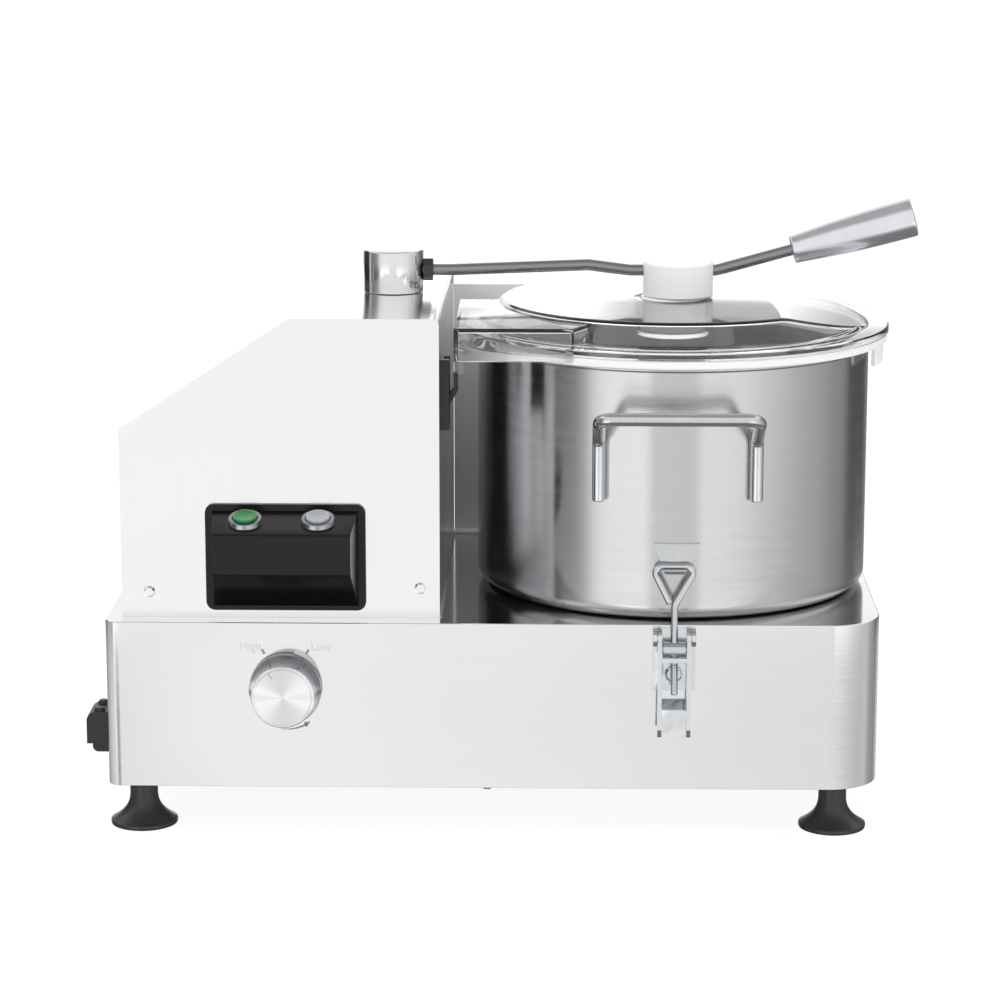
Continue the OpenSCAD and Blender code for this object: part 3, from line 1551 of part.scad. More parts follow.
module latch_lever() {
    side = [
        [rail_r * 0.9, 0], [lever_web_out + lever_tab_t, -lever_web_high],
        [lever_web_out + lever_tab_t, -lever_len + lever_tab],
        [lever_tab_out, -lever_len + rail_r], [lever_tab_out - rail_r * 0.4, -lever_len],
        [lever_tab_out - rail_r, -lever_len], [0, -lever_len + lever_tab], [-rail_r * 0.7, -lever_web_low],
        [-rail_r * 0.7, 0]
    ];
    translate([0, pivot_y, pivot_z]) {
        for (s = [-1, 1])
            translate([s > 0 ? rail_in : -rail_in - rail_t, 0, 0])
                difference() {
                    union() {
                        rotate([90, 0, 90])
                            linear_extrude(rail_t) polygon([for (p = side) [-p.x, p.y]]);
                        rotate([0, 90, 0]) cylinder(r = rail_r, h = rail_t);
                    }
                    for (hole = [[0, pivot_pin_d], [-trunnion_drop, trunnion_pin_d]])
                        translate([-cut, 0, hole[0]])
                            rotate([0, 90, 0]) cylinder(d = hole[1], h = rail_t + 2 * cut);
                }
        block([-rail_in, -lever_web_out - lever_tab_t, -lever_web_low], [rail_in, -lever_web_out, -lever_web_high]);
        translate([0, -lever_web_out - lever_tab_t, -lever_len])
            block([-rail_in, 0, rail_r], [rail_in, lever_tab_t, lever_tab]);
        translate([-rail_in, -lever_tab_out + rail_r * 0.4, -lever_len])
            block([0, 0, 0], [2 * rail_in, lever_tab_t * 1.6, rail_r]);
    }
}

module latch_hook() {
    half = hook_w / 2 - hook_d / 2;
    neck = (hook_neck_z - trunnion_z) / cos(hook_lean);
    bar = (hook_bar_z - trunnion_z) / cos(hook_lean);
    tail = (trunnion_z - thread_low) / cos(hook_lean);
    turns = floor((tail - trunnion_d / 2) / thread_pitch);
    crest = hook_d * 0.54;
    root = hook_d * 0.46;
    thread = [for (i = [0:turns - 1]) each [
        [root, -tail + i * thread_pitch], [crest, -tail + (i + 0.5) * thread_pitch]]];
    translate([0, pivot_y, trunnion_z])
        rotate([-hook_lean, 0, 0]) {
            translate([-rail_in + rail_gap, 0, 0])
                rotate([0, 90, 0]) cylinder(d = trunnion_d, h = 2 * (rail_in - rail_gap));
            translate([-rail_in - rail_t, 0, 0])
                rotate([0, 90, 0])
                    cylinder(d = trunnion_pin_d - 2 * run_gap, h = 2 * (rail_in + rail_t));
            rotate_extrude($fn = 48)
                polygon(concat([[0, -tail]], thread, [[root, -tail + turns * thread_pitch],
                                                      [root, 0], [0, 0]]));
            bent_rod([
                [0, 0, -tail + turns * thread_pitch - thread_pitch / 4], [0, 0, neck], [half, 0, bar],
                [-half, 0, bar], [-hook_d * 0.62, 0, neck + hook_d * 0.3]
            ], hook_d, hook_d * 0.9);
        }
}

module front_latch_lever() {
    color("silver") translate([bowl_x, 0, 0]) translate([latch_shift, 0, 0]) latch_lever();
}

module front_latch_hook() {
    color("gray") translate([bowl_x, 0, 0]) translate([latch_shift, 0, 0]) latch_hook();
}

module rear_latch_lever() {
    color("silver") translate([bowl_x, 0, 0]) rotate(180) translate([latch_shift, 0, 0]) latch_lever();
}

module rear_latch_hook() {
    color("gray") translate([bowl_x, 0, 0]) rotate(180) translate([latch_shift, 0, 0]) latch_hook();
}

base_shell();
base_bottom_plate();
rubber_feet();
foot_bolts();
motor_housing();
housing_back_cover();
housing_screws();
rear_guard();
control_pod();
button_bezels();
start_button();
stop_button();
button_switches();
speed_knob();
knob_grub_screw();
speed_pot();
pot_shaft();
speed_board();
board_standoffs();
cord_entry();
motor_casing();
motor_end_bells();
motor_stator();
motor_rotor();
motor_bearings();
motor_fan();
motor_mount_plate();
motor_bolts();
run_capacitor();
motor_pulley();
drive_belt();
spindle_pulley();
spindle();
bearing_housing();
spindle_bearings();
shaft_seal();
bowl();
bowl_handles();
bowl_catches();
blade_hub();
lower_blade();
upper_blade();
blade_nut();
lid_shell();
lid_seal();
lid_knob();
arm_pivot_stud();
arm_post();
arm_nut();
arm_rod();
arm_pad();
arm_grip();
lid_switch();
lid_switch_lever();
latch_plates();
latch_pins();
front_latch_lever();
front_latch_hook();
rear_latch_lever();
rear_latch_hook();
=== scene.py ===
# %% [markdown]
# # A bench-top bowl cutter, dressed for its portrait
# The machine is a drawn steel base on four rubber feet. A sloping housing covers the motor on the
# left, and a steel bowl with knives stands on the right under a clear lid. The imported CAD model
# gives every place and motion. This script gives the surfaces: smooth turned shells, bent rods,
# softened sheet edges, and materials that are worked out from the real finishes.

# %% Load the fixed frame
import bpy
import bmesh
import json
import math
import numpy as np
from mathutils import Matrix, Vector


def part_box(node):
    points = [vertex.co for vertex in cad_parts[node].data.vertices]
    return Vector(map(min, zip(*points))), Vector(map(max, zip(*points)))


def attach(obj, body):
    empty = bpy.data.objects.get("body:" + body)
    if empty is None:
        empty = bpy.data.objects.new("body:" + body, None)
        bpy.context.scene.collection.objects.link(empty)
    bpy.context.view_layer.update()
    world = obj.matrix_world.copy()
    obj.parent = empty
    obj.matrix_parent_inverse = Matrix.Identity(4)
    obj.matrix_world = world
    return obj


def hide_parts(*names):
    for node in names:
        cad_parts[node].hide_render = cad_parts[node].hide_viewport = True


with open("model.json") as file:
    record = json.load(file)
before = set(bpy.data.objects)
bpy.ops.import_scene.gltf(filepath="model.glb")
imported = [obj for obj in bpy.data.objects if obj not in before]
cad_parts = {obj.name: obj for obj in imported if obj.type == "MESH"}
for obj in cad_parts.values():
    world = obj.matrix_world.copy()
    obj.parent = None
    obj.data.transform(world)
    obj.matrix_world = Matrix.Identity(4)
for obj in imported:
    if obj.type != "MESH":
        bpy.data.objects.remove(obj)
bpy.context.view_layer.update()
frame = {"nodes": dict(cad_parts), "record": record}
nodes = frame["nodes"]
MM = 0.001

# %% [markdown]
# ## The camera
# The photograph is taken from a little above, almost straight from the front, with a long lens.
# The place and lens come from a fit to the base's straight edges and the bowl's round rims. The
# lens is given in millimetres on a 36 mm sensor, so that 1000 pixels cover the sensor's width.


# %% Camera
def in_scene(thing):
    """Links an object to the scene and hands it back."""
    bpy.context.scene.collection.objects.link(thing)
    return thing


SENSOR_MM, FOCAL_PIXELS, PICTURE_PIXELS = 36, 3197.23, 1000
TILT_DOWN, TURN_LEFT = 11.974, 1.236
view = bpy.data.cameras.new("portrait_camera")
view.lens = SENSOR_MM * FOCAL_PIXELS / PICTURE_PIXELS
view.clip_end = 100
camera = in_scene(bpy.data.objects.new("portrait_camera", view))
camera.location = (0.039285, -2.03965, 0.6194)
camera.rotation_euler = (math.radians(90 - TILT_DOWN), 0, math.radians(TURN_LEFT))
bpy.context.scene.camera = camera
bpy.context.scene.view_settings.view_transform = "Standard"
print("lens", round(view.lens, 1), "mm")

# %% [markdown]
# ## One small helper for shader nodes
# Every material and the studio's surroundings are built from shader nodes. This helper adds one
# node, sets its options, writes its input values, and joins inputs to other nodes' outputs. A
# colour written as a web colour is stored for the eye, so it is made linear first.


# %% Colour and shader node helpers
def linear(hex_colour):
    """A web colour as linear light: (c/12.92) when dark, else ((c + 0.055)/1.055) to the 2.4."""
    c = np.array([int(hex_colour[i:i + 2], 16) for i in (1, 3, 5)]) / 255
    out = np.where(c <= 0.04045, c / 12.92, ((c + 0.055) / 1.055) ** 2.4)
    return (*out.tolist(), 1.0)


def add(tree, kind, inputs=None, stops=None, **options):
    """Adds a node. Inputs are numbers, colours, outputs, or nodes for their first output."""
    made = tree.nodes.new(kind)
    for key, value in options.items():
        setattr(made, key, value)
    for key, value in (inputs or {}).items():
        if isinstance(value, bpy.types.Node):
            value = value.outputs[0]
        if isinstance(value, bpy.types.NodeSocket):
            tree.links.new(value, made.inputs[key])
        else:
            made.inputs[key].default_value = value
    if stops:  # places and values of a colour ramp
        ramp = made.color_ramp
        while len(ramp.elements) < len(stops):
            ramp.elements.new(0.5)
        for element, (place, value) in zip(ramp.elements, stops):
            element.position = place
            element.color = value if isinstance(value, tuple) else (value, value, value, 1)
    return made


print("web grey #808080 is", round(linear("#808080")[0], 3), "in linear light")

# %% [markdown]
# ## The studio
# Polished steel shows mostly what stands round it, so the surroundings do the painting. To the
# eye and through the clear lid all is plain white. A reflecting surface sees white above, and
# below the horizon it sees a ring of pale cards and dark gaps, set out by compass direction.
# The bowl's upright stripes come from that ring. The floor is left out of reflections for it.

# %% World
world = bpy.data.worlds.new("studio")
bpy.context.scene.world = world
world.use_nodes = True
wt = world.node_tree
wt.nodes.clear()
print("world:", world.name)

# %% Brightness round the compass
# Each stop is a compass direction in degrees, from the camera's side and positive to the right, and
# the brightness that is mirrored from there. RING is for the bowl, housing and post.
RING = [(-180, .30), (-150, .22), (-141, .03), (-108, .02), (-103, .20), (-100, .85), (-97, .70),
        (-93, .12), (-84, .24), (-80, .38), (-76, .08), (-70, .15), (-60, .22), (-54, .55),
        (-47, 1.35), (-36, 1.85), (-17, 1.95), (-12, .97), (12, .97), (17, 1.6), (40, 1.45),
        (55, 1.1), (80, .68), (105, .45), (118, .38), (126, .10), (150, .08), (160, .22), (168, .34),
        (180, .30)]
# LOW_RING is what the base's front mirrors, a little lower
LOW_RING = [(-180, .40), (-130, .40), (-80, .70), (-42, .90), (-33, .35), (-19, .33), (-12, .88),
            (-8, 1.01), (0, .94), (6, .86), (9, .80), (20, .70), (45, .60), (75, .55), (95, .60), (111, .36),
            (138, .28), (150, .60), (180, .40)]
# SKY is from just under the horizon upwards. Its bright card straight behind whitens level tops
SKY = [(-180, 2.3), (-178.5, 2.3), (-176.5, 1.15), (-158, 1.15), (-150, .40), (-141, .05), (-108, .04),
       (-103, .30), (-96, .70), (-90, .20), (-70, .30), (-60, .45), (-50, .90), (-30, 1.0), (30, 1.0),
       (60, .90), (100, .50), (126, .20), (140, .15), (158, .30), (168, .55), (171.5, .55), (173.5, 2.3),
       (180, 2.3)]
# LID_BAND is what the front part of the lid's level top mirrors: dim, so that one sees the bowl
LID_BAND = [(-180, 2.3), (174.2, 2.3), (174.8, .5), (179.4, .5), (179.9, 2.3), (180, 2.3)]
print("stops:", len(RING), len(LOW_RING), len(SKY), len(LID_BAND))

# %% Direction, compass and height
direction = add(wt, "ShaderNodeTexCoord")
split = add(wt, "ShaderNodeSeparateXYZ", {0: direction.outputs["Generated"]})
flip = add(wt, "ShaderNodeMath", {0: split.outputs["Y"], 1: -1.0}, operation="MULTIPLY")
compass = add(wt, "ShaderNodeMath", {0: split.outputs["X"], 1: flip}, operation="ARCTAN2")
turn = add(wt, "ShaderNodeMapRange", {0: compass, 1: -math.pi, 2: math.pi})


def around(stops, brightest):
    """Brightness by compass direction: a ramp over the circle, scaled back up."""
    ramp = add(wt, "ShaderNodeValToRGB", {0: turn},
               stops=[((a + 180) / 360, v / brightest) for a, v in stops])
    return add(wt, "ShaderNodeMath", {0: ramp, 1: brightest}, operation="MULTIPLY")


def by_height(z0, z1, low, high):
    """Goes smoothly from one brightness to another between two heights of the view direction."""
    share = add(wt, "ShaderNodeMapRange", {0: split.outputs["Z"], 1: z0, 2: z1},
                interpolation_type="SMOOTHSTEP")
    return add(wt, "ShaderNodeMix", {0: share, 2: low, 3: high}, data_type="FLOAT")


def seen_directly(tree):
    """The light path node, and 1 for rays from the eye or through the clear lid, else 0."""
    rays = add(tree, "ShaderNodeLightPath")
    direct = add(tree, "ShaderNodeMath",
                 {0: rays.outputs["Is Camera Ray"], 1: rays.outputs["Is Transmission Ray"]},
                 operation="MAXIMUM")
    return rays, direct


print("world nodes so far:", len(wt.nodes))

# %% The whole surroundings
# Heights run from -1, straight down, over 0, level, to 1, straight up. The next three lines set the
# cards below the horizon, with the base's band at -0.31 to -0.245 and a dim ground far below.
ring, low_ring = around(RING, 2.0), around(LOW_RING, 1.5)
cards = by_height(-0.245, -0.240, by_height(-0.33, -0.31, ring, low_ring), ring)
cards = by_height(-0.75, -0.45, 0.22, cards)
# The cap dims the card behind: to LID_BAND in the lid's front part, and to plain white further up,
# where the base's top mirrors it
cap = by_height(0.18, 0.21, by_height(0.1438, 0.1469, 2.3, around(LID_BAND, 2.4)), 1.0)
sky_low = add(wt, "ShaderNodeMath", {0: around(SKY, 2.4), 1: cap}, operation="MINIMUM")
# High up all is plain white, and a grey overhead keeps upturned curves from washing out
sky_up = by_height(0.72, 0.86, by_height(0.42, 0.55, sky_low, 1.0), 0.45)
reflected = by_height(-0.13, -0.09, cards, sky_up)
path, seen = seen_directly(wt)
SOFT_LIGHT = 0.84
glossy = add(wt, "ShaderNodeMix", {0: path.outputs["Is Glossy Ray"], 2: SOFT_LIGHT, 3: reflected},
             data_type="FLOAT")
final = add(wt, "ShaderNodeMix", {0: seen, 2: glossy, 3: 1.0}, data_type="FLOAT")
sky = add(wt, "ShaderNodeBackground", {"Color": final, "Strength": 1.0})
add(wt, "ShaderNodeOutputWorld", {"Surface": sky})
print("world nodes:", len(wt.nodes))

# %% [markdown]
# ## Floor and lamps
# The floor is white paper. It keeps a faint shadow, because only a part of its white is its own
# glow and the rest is light that falls on it. Three broad lamps stand left, right and above.

# %% Floor
floor_mesh = bpy.data.meshes.new("paper_floor")
floor_mesh.from_pydata([(-9, -9, 0), (9, -9, 0), (9, 14, 0), (-9, 14, 0)], [], [(0, 1, 2, 3)])
floor = in_scene(bpy.data.objects.new("paper_floor", floor_mesh))
floor.visible_glossy = False
paper = bpy.data.materials.new("white_paper")
paper.use_nodes = True
pt = paper.node_tree
pt.nodes.clear()
looked_at = seen_directly(pt)[1]
matt = add(pt, "ShaderNodeBsdfDiffuse", {"Color": (0.16, 0.16, 0.16, 1)})
glow = add(pt, "ShaderNodeEmission", {"Color": (1, 1, 1, 1), "Strength": 0.90})
both = add(pt, "ShaderNodeAddShader", {0: matt, 1: glow})
plain = add(pt, "ShaderNodeBsdfDiffuse", {"Color": (0.80, 0.80, 0.80, 1)})
sheet = add(pt, "ShaderNodeMixShader", {0: looked_at, 1: plain, 2: both})
add(pt, "ShaderNodeOutputMaterial", {"Surface": sheet})
floor_mesh.materials.append(paper)
print("floor faces:", len(floor_mesh.polygons))


# %% Lamps
def lamp(name, place, target, size, watts):
    """A square soft lamp at a place, turned to face a target."""
    light = bpy.data.lights.new(name, "AREA")
    light.size, light.energy = size, watts
    made = in_scene(bpy.data.objects.new(name, light))
    made.location = place
    made.rotation_euler = (Vector(target) - Vector(place)).to_track_quat("-Z", "Y").to_euler()
    made.visible_glossy = False


lamp("lamp_left", (-1.6, -1.6, 1.5), (0, 0, 0.15), 1.4, 16)
lamp("lamp_right", (1.7, -1.3, 1.3), (0, 0, 0.15), 1.2, 10)
lamp("lamp_above", (0.1, 0.3, 2.0), (0, 0, 0.15), 1.6, 14)
print("lamps:", len(bpy.data.lights))

# %% [markdown]
# ## Building surfaces from grids
# A sheet of points that runs over two parameters becomes a skin of four-sided faces. Where a row
# of points shrinks to one point, the doubles are merged, so poles close. The signed volume tells
# whether the skin looks outwards. Each corner of a face keeps how far it lies round and along the
# piece, in metres, so that brushing can follow the surface.


# %% Grid helper
def skin(name, grid, ring_u=True, ring_v=False, across=None):
    """Faces between neighbours (i, j), (i+1, j), (i+1, j+1), (i, j+1) of a grid of points in mm."""
    nu, nv = grid.shape[:2]
    i, j = np.meshgrid(np.arange(nu if ring_u else nu - 1), np.arange(nv if ring_v else nv - 1),
                       indexing="ij")
    at = lambda a, b: (a % nu) * nv + b % nv
    quads = np.stack([at(i, j), at(i + 1, j), at(i + 1, j + 1), at(i, j + 1)], -1).reshape(-1, 4)
    mesh = bpy.data.meshes.new(name)
    mesh.from_pydata((grid.reshape(-1, 3) * MM).tolist(), [], quads.tolist())
    layer = mesh.uv_layers.new(name="along")
    u = np.stack([i, i + 1, i + 1, i], -1) / max(nu, 1)
    v = np.stack([j, j, j + 1, j + 1], -1) / max(nv, 1)
    size = across or (0.4, 0.2)
    layer.data.foreach_set("uv", np.stack([u * size[0], v * size[1]], -1).astype(np.float32).ravel())
    return mesh


# %% Closing and shading a skin
def smooth(mesh, sharp_angle):
    """Shades a mesh smooth, but not across edges sharper than an angle in degrees."""
    mesh.polygons.foreach_set("use_smooth", np.ones(len(mesh.polygons), dtype=bool))
    mesh.set_sharp_from_angle(angle=math.radians(sharp_angle))


def settle(mesh, sharp_angle=32.0):
    """Merges doubled points, turns the skin outwards by its signed volume, and shades it smooth."""
    bm = bmesh.new()
    bm.from_mesh(mesh)
    bmesh.ops.remove_doubles(bm, verts=bm.verts, dist=2e-6)
    bmesh.ops.dissolve_degenerate(bm, edges=bm.edges, dist=1e-7)
    if bm.calc_volume(signed=True) < 0:
        bmesh.ops.reverse_faces(bm, faces=bm.faces)
    bm.to_mesh(mesh)
    bm.free()
    smooth(mesh, sharp_angle)


# %% Placing a piece
def place(mesh, material, body, slot, stands_for=(), bevel=0.0, steps=2):
    """Makes the object, gives it its finish, and fixes it to the body that it moves with."""
    piece = in_scene(bpy.data.objects.new(mesh.name, mesh))
    mesh.materials.clear()
    mesh.materials.append(material)
    if bevel:
        soft = piece.modifiers.new("soft_edges", "BEVEL")
        soft.width, soft.segments = bevel * MM, steps
        soft.limit_method, soft.angle_limit = "ANGLE", math.radians(34)
        soft.harden_normals = True
        soft.use_clamp_overlap = True
    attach(piece, body)
    if stands_for:
        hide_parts(*stands_for)
    return piece


def placed(grid, centre, axis=(0, 0, 1)):
    """Turns points that were made about +Z so that +Z becomes the axis, and moves them."""
    turn_to = np.array(Vector((0, 0, 1)).rotation_difference(Vector(axis)).to_matrix())
    return grid @ turn_to.T + np.array(centre, float)

# %% [markdown]
# ## Turned pieces
# The bowl, feet, knob, post, pad and grip are all round about an axis. On a lathe or spinning
# chuck they come from one outline. Here the outline is a list of radius and height, its corners
# are rounded, and it is carried round the axis.


# %% Turned skin
def eased(points, radii, steps=5):
    """An open line whose inner corners become arcs: each arc is swung from tangent to tangent."""
    pts = np.array(points, float)
    radii = np.broadcast_to(radii, len(pts))
    out = [pts[:1]]
    for k in range(1, len(pts) - 1):
        a, b, c, r = pts[k - 1], pts[k], pts[k + 1], radii[k]
        u, w = (a - b) / np.linalg.norm(a - b), (c - b) / np.linalg.norm(c - b)
        half = math.acos(np.clip(u @ w, -1, 1)) / 2
        if r <= 0 or half > 1.55:
            out.append(pts[k:k + 1])
            continue
        middle = b + (u + w) / np.linalg.norm(u + w) * r / math.sin(half)
        e1 = b + u * r / math.tan(half) - middle
        e3 = b + w * r / math.tan(half) - middle
        t = np.linspace(0, 1, steps + 1)[:, None]
        swing = math.pi - 2 * half
        out.append(middle + (np.sin((1 - t) * swing) * e1 + np.sin(t * swing) * e3) / math.sin(swing))
    out.append(pts[-1:])
    return np.concatenate(out)


def turned(name, outline, centre, axis=(0, 0, 1), sides=128, closed=False, ripple=None):
    """Carries (radius, height) pairs round an axis: x = r cos a, y = r sin a, z = h."""
    outline = np.array(outline, float)
    a = np.linspace(0, 2 * np.pi, sides, endpoint=False)[:, None]
    r, h = outline[:, 0][None], outline[:, 1][None]
    if ripple is not None:
        r = r * ripple(a, h)
    grid = np.stack([r * np.cos(a), r * np.sin(a), h + 0 * a], -1)
    reach = float(outline[:, 0].max()) * 2 * math.pi * MM
    length = float(np.linalg.norm(np.diff(outline, axis=0), axis=1).sum()) * MM
    return skin(name, placed(grid, centre, axis), True, closed, (reach, length))

# %% [markdown]
# ## Bent rods
# Handles, the arm and the latch's wire are round bar that was bent cold. The path is a line with
# round bends. At each of its points a circle is drawn across the path, and the frame that holds
# the circle is carried along without twisting.


# %% Swept rod
def rod(name, path, radius, sides=28, chamfer=0.6):
    """Circles across a path: p + r (n cos a + b sin a), with n carried on from point to point."""
    p = np.array(path, float)
    along = np.gradient(p, axis=0)
    along /= np.linalg.norm(along, axis=1, keepdims=True)
    n = np.cross(along[0], (0.12, 0.98, 0.15))
    normals = []
    for t in along:
        n = n - t * (n @ t)
        n = n / np.linalg.norm(n)
        normals.append(n)
    normals = np.array(normals)
    across = np.cross(along, normals)
    ends = [p[0], p[0], p[0] + along[0] * chamfer], [p[-1] - along[-1] * chamfer, p[-1], p[-1]]
    p = np.concatenate([ends[0], p[1:-1], ends[1]])
    pad = lambda m: np.concatenate([m[:1], m[:1], m, m[-1:], m[-1:]])
    r = np.concatenate([[0, radius - chamfer], np.full(len(p) - 4, radius), [radius - chamfer, 0]])
    a = np.linspace(0, 2 * np.pi, sides, endpoint=False)[:, None, None]
    grid = p[None] + r[None, :, None] * (pad(normals)[None] * np.cos(a) + pad(across)[None] * np.sin(a))
    length = float(np.linalg.norm(np.diff(p, axis=0), axis=1).sum()) * MM
    return skin(name, grid, True, False, (2 * math.pi * radius * MM, length))

# %% [markdown]
# ## Sheet parts from the CAD model
# Folded and punched sheet already has its right shape in the CAD model, but every edge there is
# razor sharp. Real sheet shows a thin bright line along each fold. A copy of the CAD mesh is
# merged, its flat triangles are joined, and its edges are rounded by a fraction of a millimetre.


# %% Softened copy of a CAD node
def body_of(name):
    """The body that a CAD node rides on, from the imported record."""
    bodies = frame["record"]["behaviour"]["bodies"]
    return next(body for body, parts in bodies.items() if name in parts)


def slot_of(name):
    """The finish that the record names for a CAD node."""
    return next(s["material_slot"] for s in frame["record"]["subparts"] if s["node"] == name)


def softened(name, material, bevel=0.4, steps=2, sharp=32.0, pick=None, new_name=None):
    """A merged copy of a CAD node. Sharp edges get the bevel times pick's share for their ends."""
    mesh = nodes[name].data.copy()
    mesh.name = new_name or name + "_finished"
    bm = bmesh.new()
    bm.from_mesh(mesh)
    bmesh.ops.remove_doubles(bm, verts=bm.verts, dist=3e-6)
    bmesh.ops.dissolve_degenerate(bm, edges=bm.edges, dist=1e-6)
    bmesh.ops.dissolve_limit(bm, angle_limit=math.radians(0.6), verts=bm.verts, edges=bm.edges)
    bm.to_mesh(mesh)
    bm.free()
    smooth(mesh, sharp)
    piece = place(mesh, material, body_of(name), slot_of(name), (name,), bevel, steps)
    if pick is not None and bevel:
        co = np.empty(len(mesh.vertices) * 3, np.float32)
        mesh.vertices.foreach_get("co", co)
        ends = np.empty(len(mesh.edges) * 2, np.int32)
        mesh.edges.foreach_get("vertices", ends)
        pairs = co.reshape(-1, 3)[ends.reshape(-1, 2)] / MM
        is_sharp = np.zeros(len(mesh.edges), bool)
        mesh.edges.foreach_get("use_edge_sharp", is_sharp)
        weight = mesh.attributes.new("bevel_weight_edge", "FLOAT", "EDGE")
        weight.data.foreach_set("value", (pick(pairs[:, 0], pairs[:, 1]) * is_sharp).astype(np.float32))
        piece.modifiers["soft_edges"].limit_method = "WEIGHT"
    return piece


def repaint(piece, material, where):
    """Gives a second finish to the faces whose centres, in mm, fulfil a condition."""
    mesh = piece.data
    mesh.materials.append(material)
    centres = np.empty(len(mesh.polygons) * 3, np.float32)
    mesh.polygons.foreach_get("center", centres)
    index = np.where(where(centres.reshape(-1, 3) / MM), len(mesh.materials) - 1, 0)
    mesh.polygons.foreach_set("material_index", index.astype(np.int32))


print("helpers ready")

# %% [markdown]
# ## Finishes
# One function makes every finish, because real finishes differ in the same few ways: colour, how
# metallic and how rough they are, and which way their fine marks run. A stretched noise gives the
# marks: long one way and fine across is brushing, the same each way is moulded grain. A second,
# slow noise gives the handling marks, centimetres wide, that keep a big sheet from looking dead.


# %% Finish
def finish(name, colour, metal=0.0, rough=0.4, marks=1.0, shade=0.04, uneven=0.05, depth=0.0,
           smudge=40.0, along=False, **own):
    """Marks are lengths in mm along x, y and z (or round and along the piece), or one for all.
    The colour swings by the share shade and the roughness by uneven. Depth and smudge are in mm."""
    made = bpy.data.materials.new(name)
    made.use_nodes = True
    tree = made.node_tree
    tree.nodes.clear()
    if along:
        source = add(tree, "ShaderNodeUVMap", uv_map="along").outputs["UV"]
    else:
        source = add(tree, "ShaderNodeTexCoord").outputs["Object"]
    scale = tuple(1 / (float(m) * MM) for m in np.broadcast_to(marks, 3))
    scaled = add(tree, "ShaderNodeMapping", {"Vector": source, "Scale": scale})
    fine = add(tree, "ShaderNodeTexNoise",
               {"Vector": scaled, "Scale": 1.0, "Detail": 3.0, "Roughness": 0.6})
    slow = add(tree, "ShaderNodeTexNoise", {"Vector": source, "Scale": 1 / (smudge * MM), "Detail": 2.0})
    both = add(tree, "ShaderNodeMix", {0: 0.35, 2: fine, 3: slow}, data_type="FLOAT")
    even = linear(colour)[:3]
    low = tuple(c * (1 - shade) for c in even) + (1,)
    high = tuple(min(c * (1 + shade), 1.0) for c in even) + (1,)
    tint = add(tree, "ShaderNodeValToRGB", {0: both}, stops=[(0.34, low), (0.66, high)])
    level = add(tree, "ShaderNodeMapRange",
                {0: both, 1: 0.3, 2: 0.7, 3: max(rough - uneven, 0.01), 4: rough + uneven})
    shader = add(tree, "ShaderNodeBsdfPrincipled",
                 {"Base Color": tint, "Metallic": metal, "Roughness": level, **own})
    if depth:
        bump = add(tree, "ShaderNodeBump",
                   {"Height": fine, "Distance": depth * MM, "Strength": 1.0})
        tree.links.new(bump.outputs[0], shader.inputs["Normal"])
    if own.get("Anisotropic"):
        tangent = add(tree, "ShaderNodeTangent", direction_type="UV_MAP", uv_map="along")
        tree.links.new(tangent.outputs[0], shader.inputs["Tangent"])
    add(tree, "ShaderNodeOutputMaterial", {"Surface": shader})
    return made

# %% Sheet, spun and turned metals
# Drawn stainless tub: pale, mirror-like, with faint level brush lines that only streak its gloss
base_steel = finish("drawn_stainless_polished", "#ECEDEE", 1.0, 0.10, (45, 45, 0.5), 0.015, 0.03, smudge=70)
# Rear guard: sheet with a pale satin coat, which spreads what light falls into the gap
guard_steel = finish("satin_coated_sheet", "#F1F2F2", 0.0, 0.45, (0.5, 0.5, 40), 0.02, 0.04, smudge=60)
# Folded stainless cover: the same sheet with a finer satin grain, so its reflections are softer
cover_steel = finish("folded_stainless_satin", "#F5F5F6", 1.0, 0.17, (0.5, 0.5, 60), 0.012, 0.03, smudge=90)
# Spun bowl: darker because it mirrors the dark gaps, with round brushing that drags lights upright
bowl_steel = finish("spun_stainless_brushed", "#C6C7C8", 1.0, 0.20, (60, 0.4, 1), 0.03, 0.04, along=True,
                    Anisotropic=0.8, **{"Anisotropic Rotation": 0.25})
# Bent bar and pressed latch parts: bright drawn wire with fine marks
bright_steel = finish("bright_drawn_stainless", "#CDCFD1", 1.0, 0.12, 3, 0.04, 0.05, 0.004, smudge=12)
# Lathe-turned post: fine rings round it draw its reflections into upright bands
post_steel = finish("turned_stainless_post", "#E3E4E6", 1.0, 0.10, (50, 0.25, 1), 0.03, 0.04, along=True,
                    Anisotropic=0.45, **{"Anisotropic Rotation": 0.25})
# The knob's face is faced off on a lathe, and its rings spread light into two bright wedges
knob_aluminium = finish("turned_aluminium_satin", "#F1F1F2", 1.0, 0.34, (60, 0.2, 1), 0.02, 0.04, along=True,
                        Anisotropic=0.95, **{"Anisotropic Rotation": 0.25})
# The knob's side is turned smooth. Its colour is painted darker than the face's, the same aluminium with
# painted shade for the dark surroundings it mirrors
knob_side_painted_shade = finish("turned_aluminium_side_painted_shade", "#77797C", 1.0, 0.12, (60, 0.3, 1), 0.05, 0.04, along=True)
# Grip: tumbled aluminium, pale, with one soft highlight along its back
grip_metal = finish("tumbled_aluminium_grip", "#E4E3E8", 1.0, 0.24, 9, 0.03, 0.04, smudge=30)
print("finishes so far:", len(bpy.data.materials))

# %% Rod, fasteners, knives and inner metals
# Arm rod: worn black oxide over steel, a dull grey shine. Its nut has kept the oxide and is darker
oxide_steel = finish("black_oxide_steel", "#96979A", 1.0, 0.38, 8, 0.03, 0.03, smudge=25)
nut_oxide = finish("black_oxide_nut", "#48494C", 0.9, 0.32, 1, 0.12, 0.06, 0.01)
# Zinc plate on small pressed parts: bright, slightly milky, with a fine crystal unevenness
zinc = finish("zinc_plated_steel", "#DADCDE", 1.0, 0.17, 4, 0.04, 0.05, 0.002, smudge=14)
# Knives: surface ground, so the fine scratches run one way and the flats flash
blade_steel = finish("ground_knife_steel", "#C9CBCE", 1.0, 0.18, (20, 0.4, 8), 0.04, 0.05)
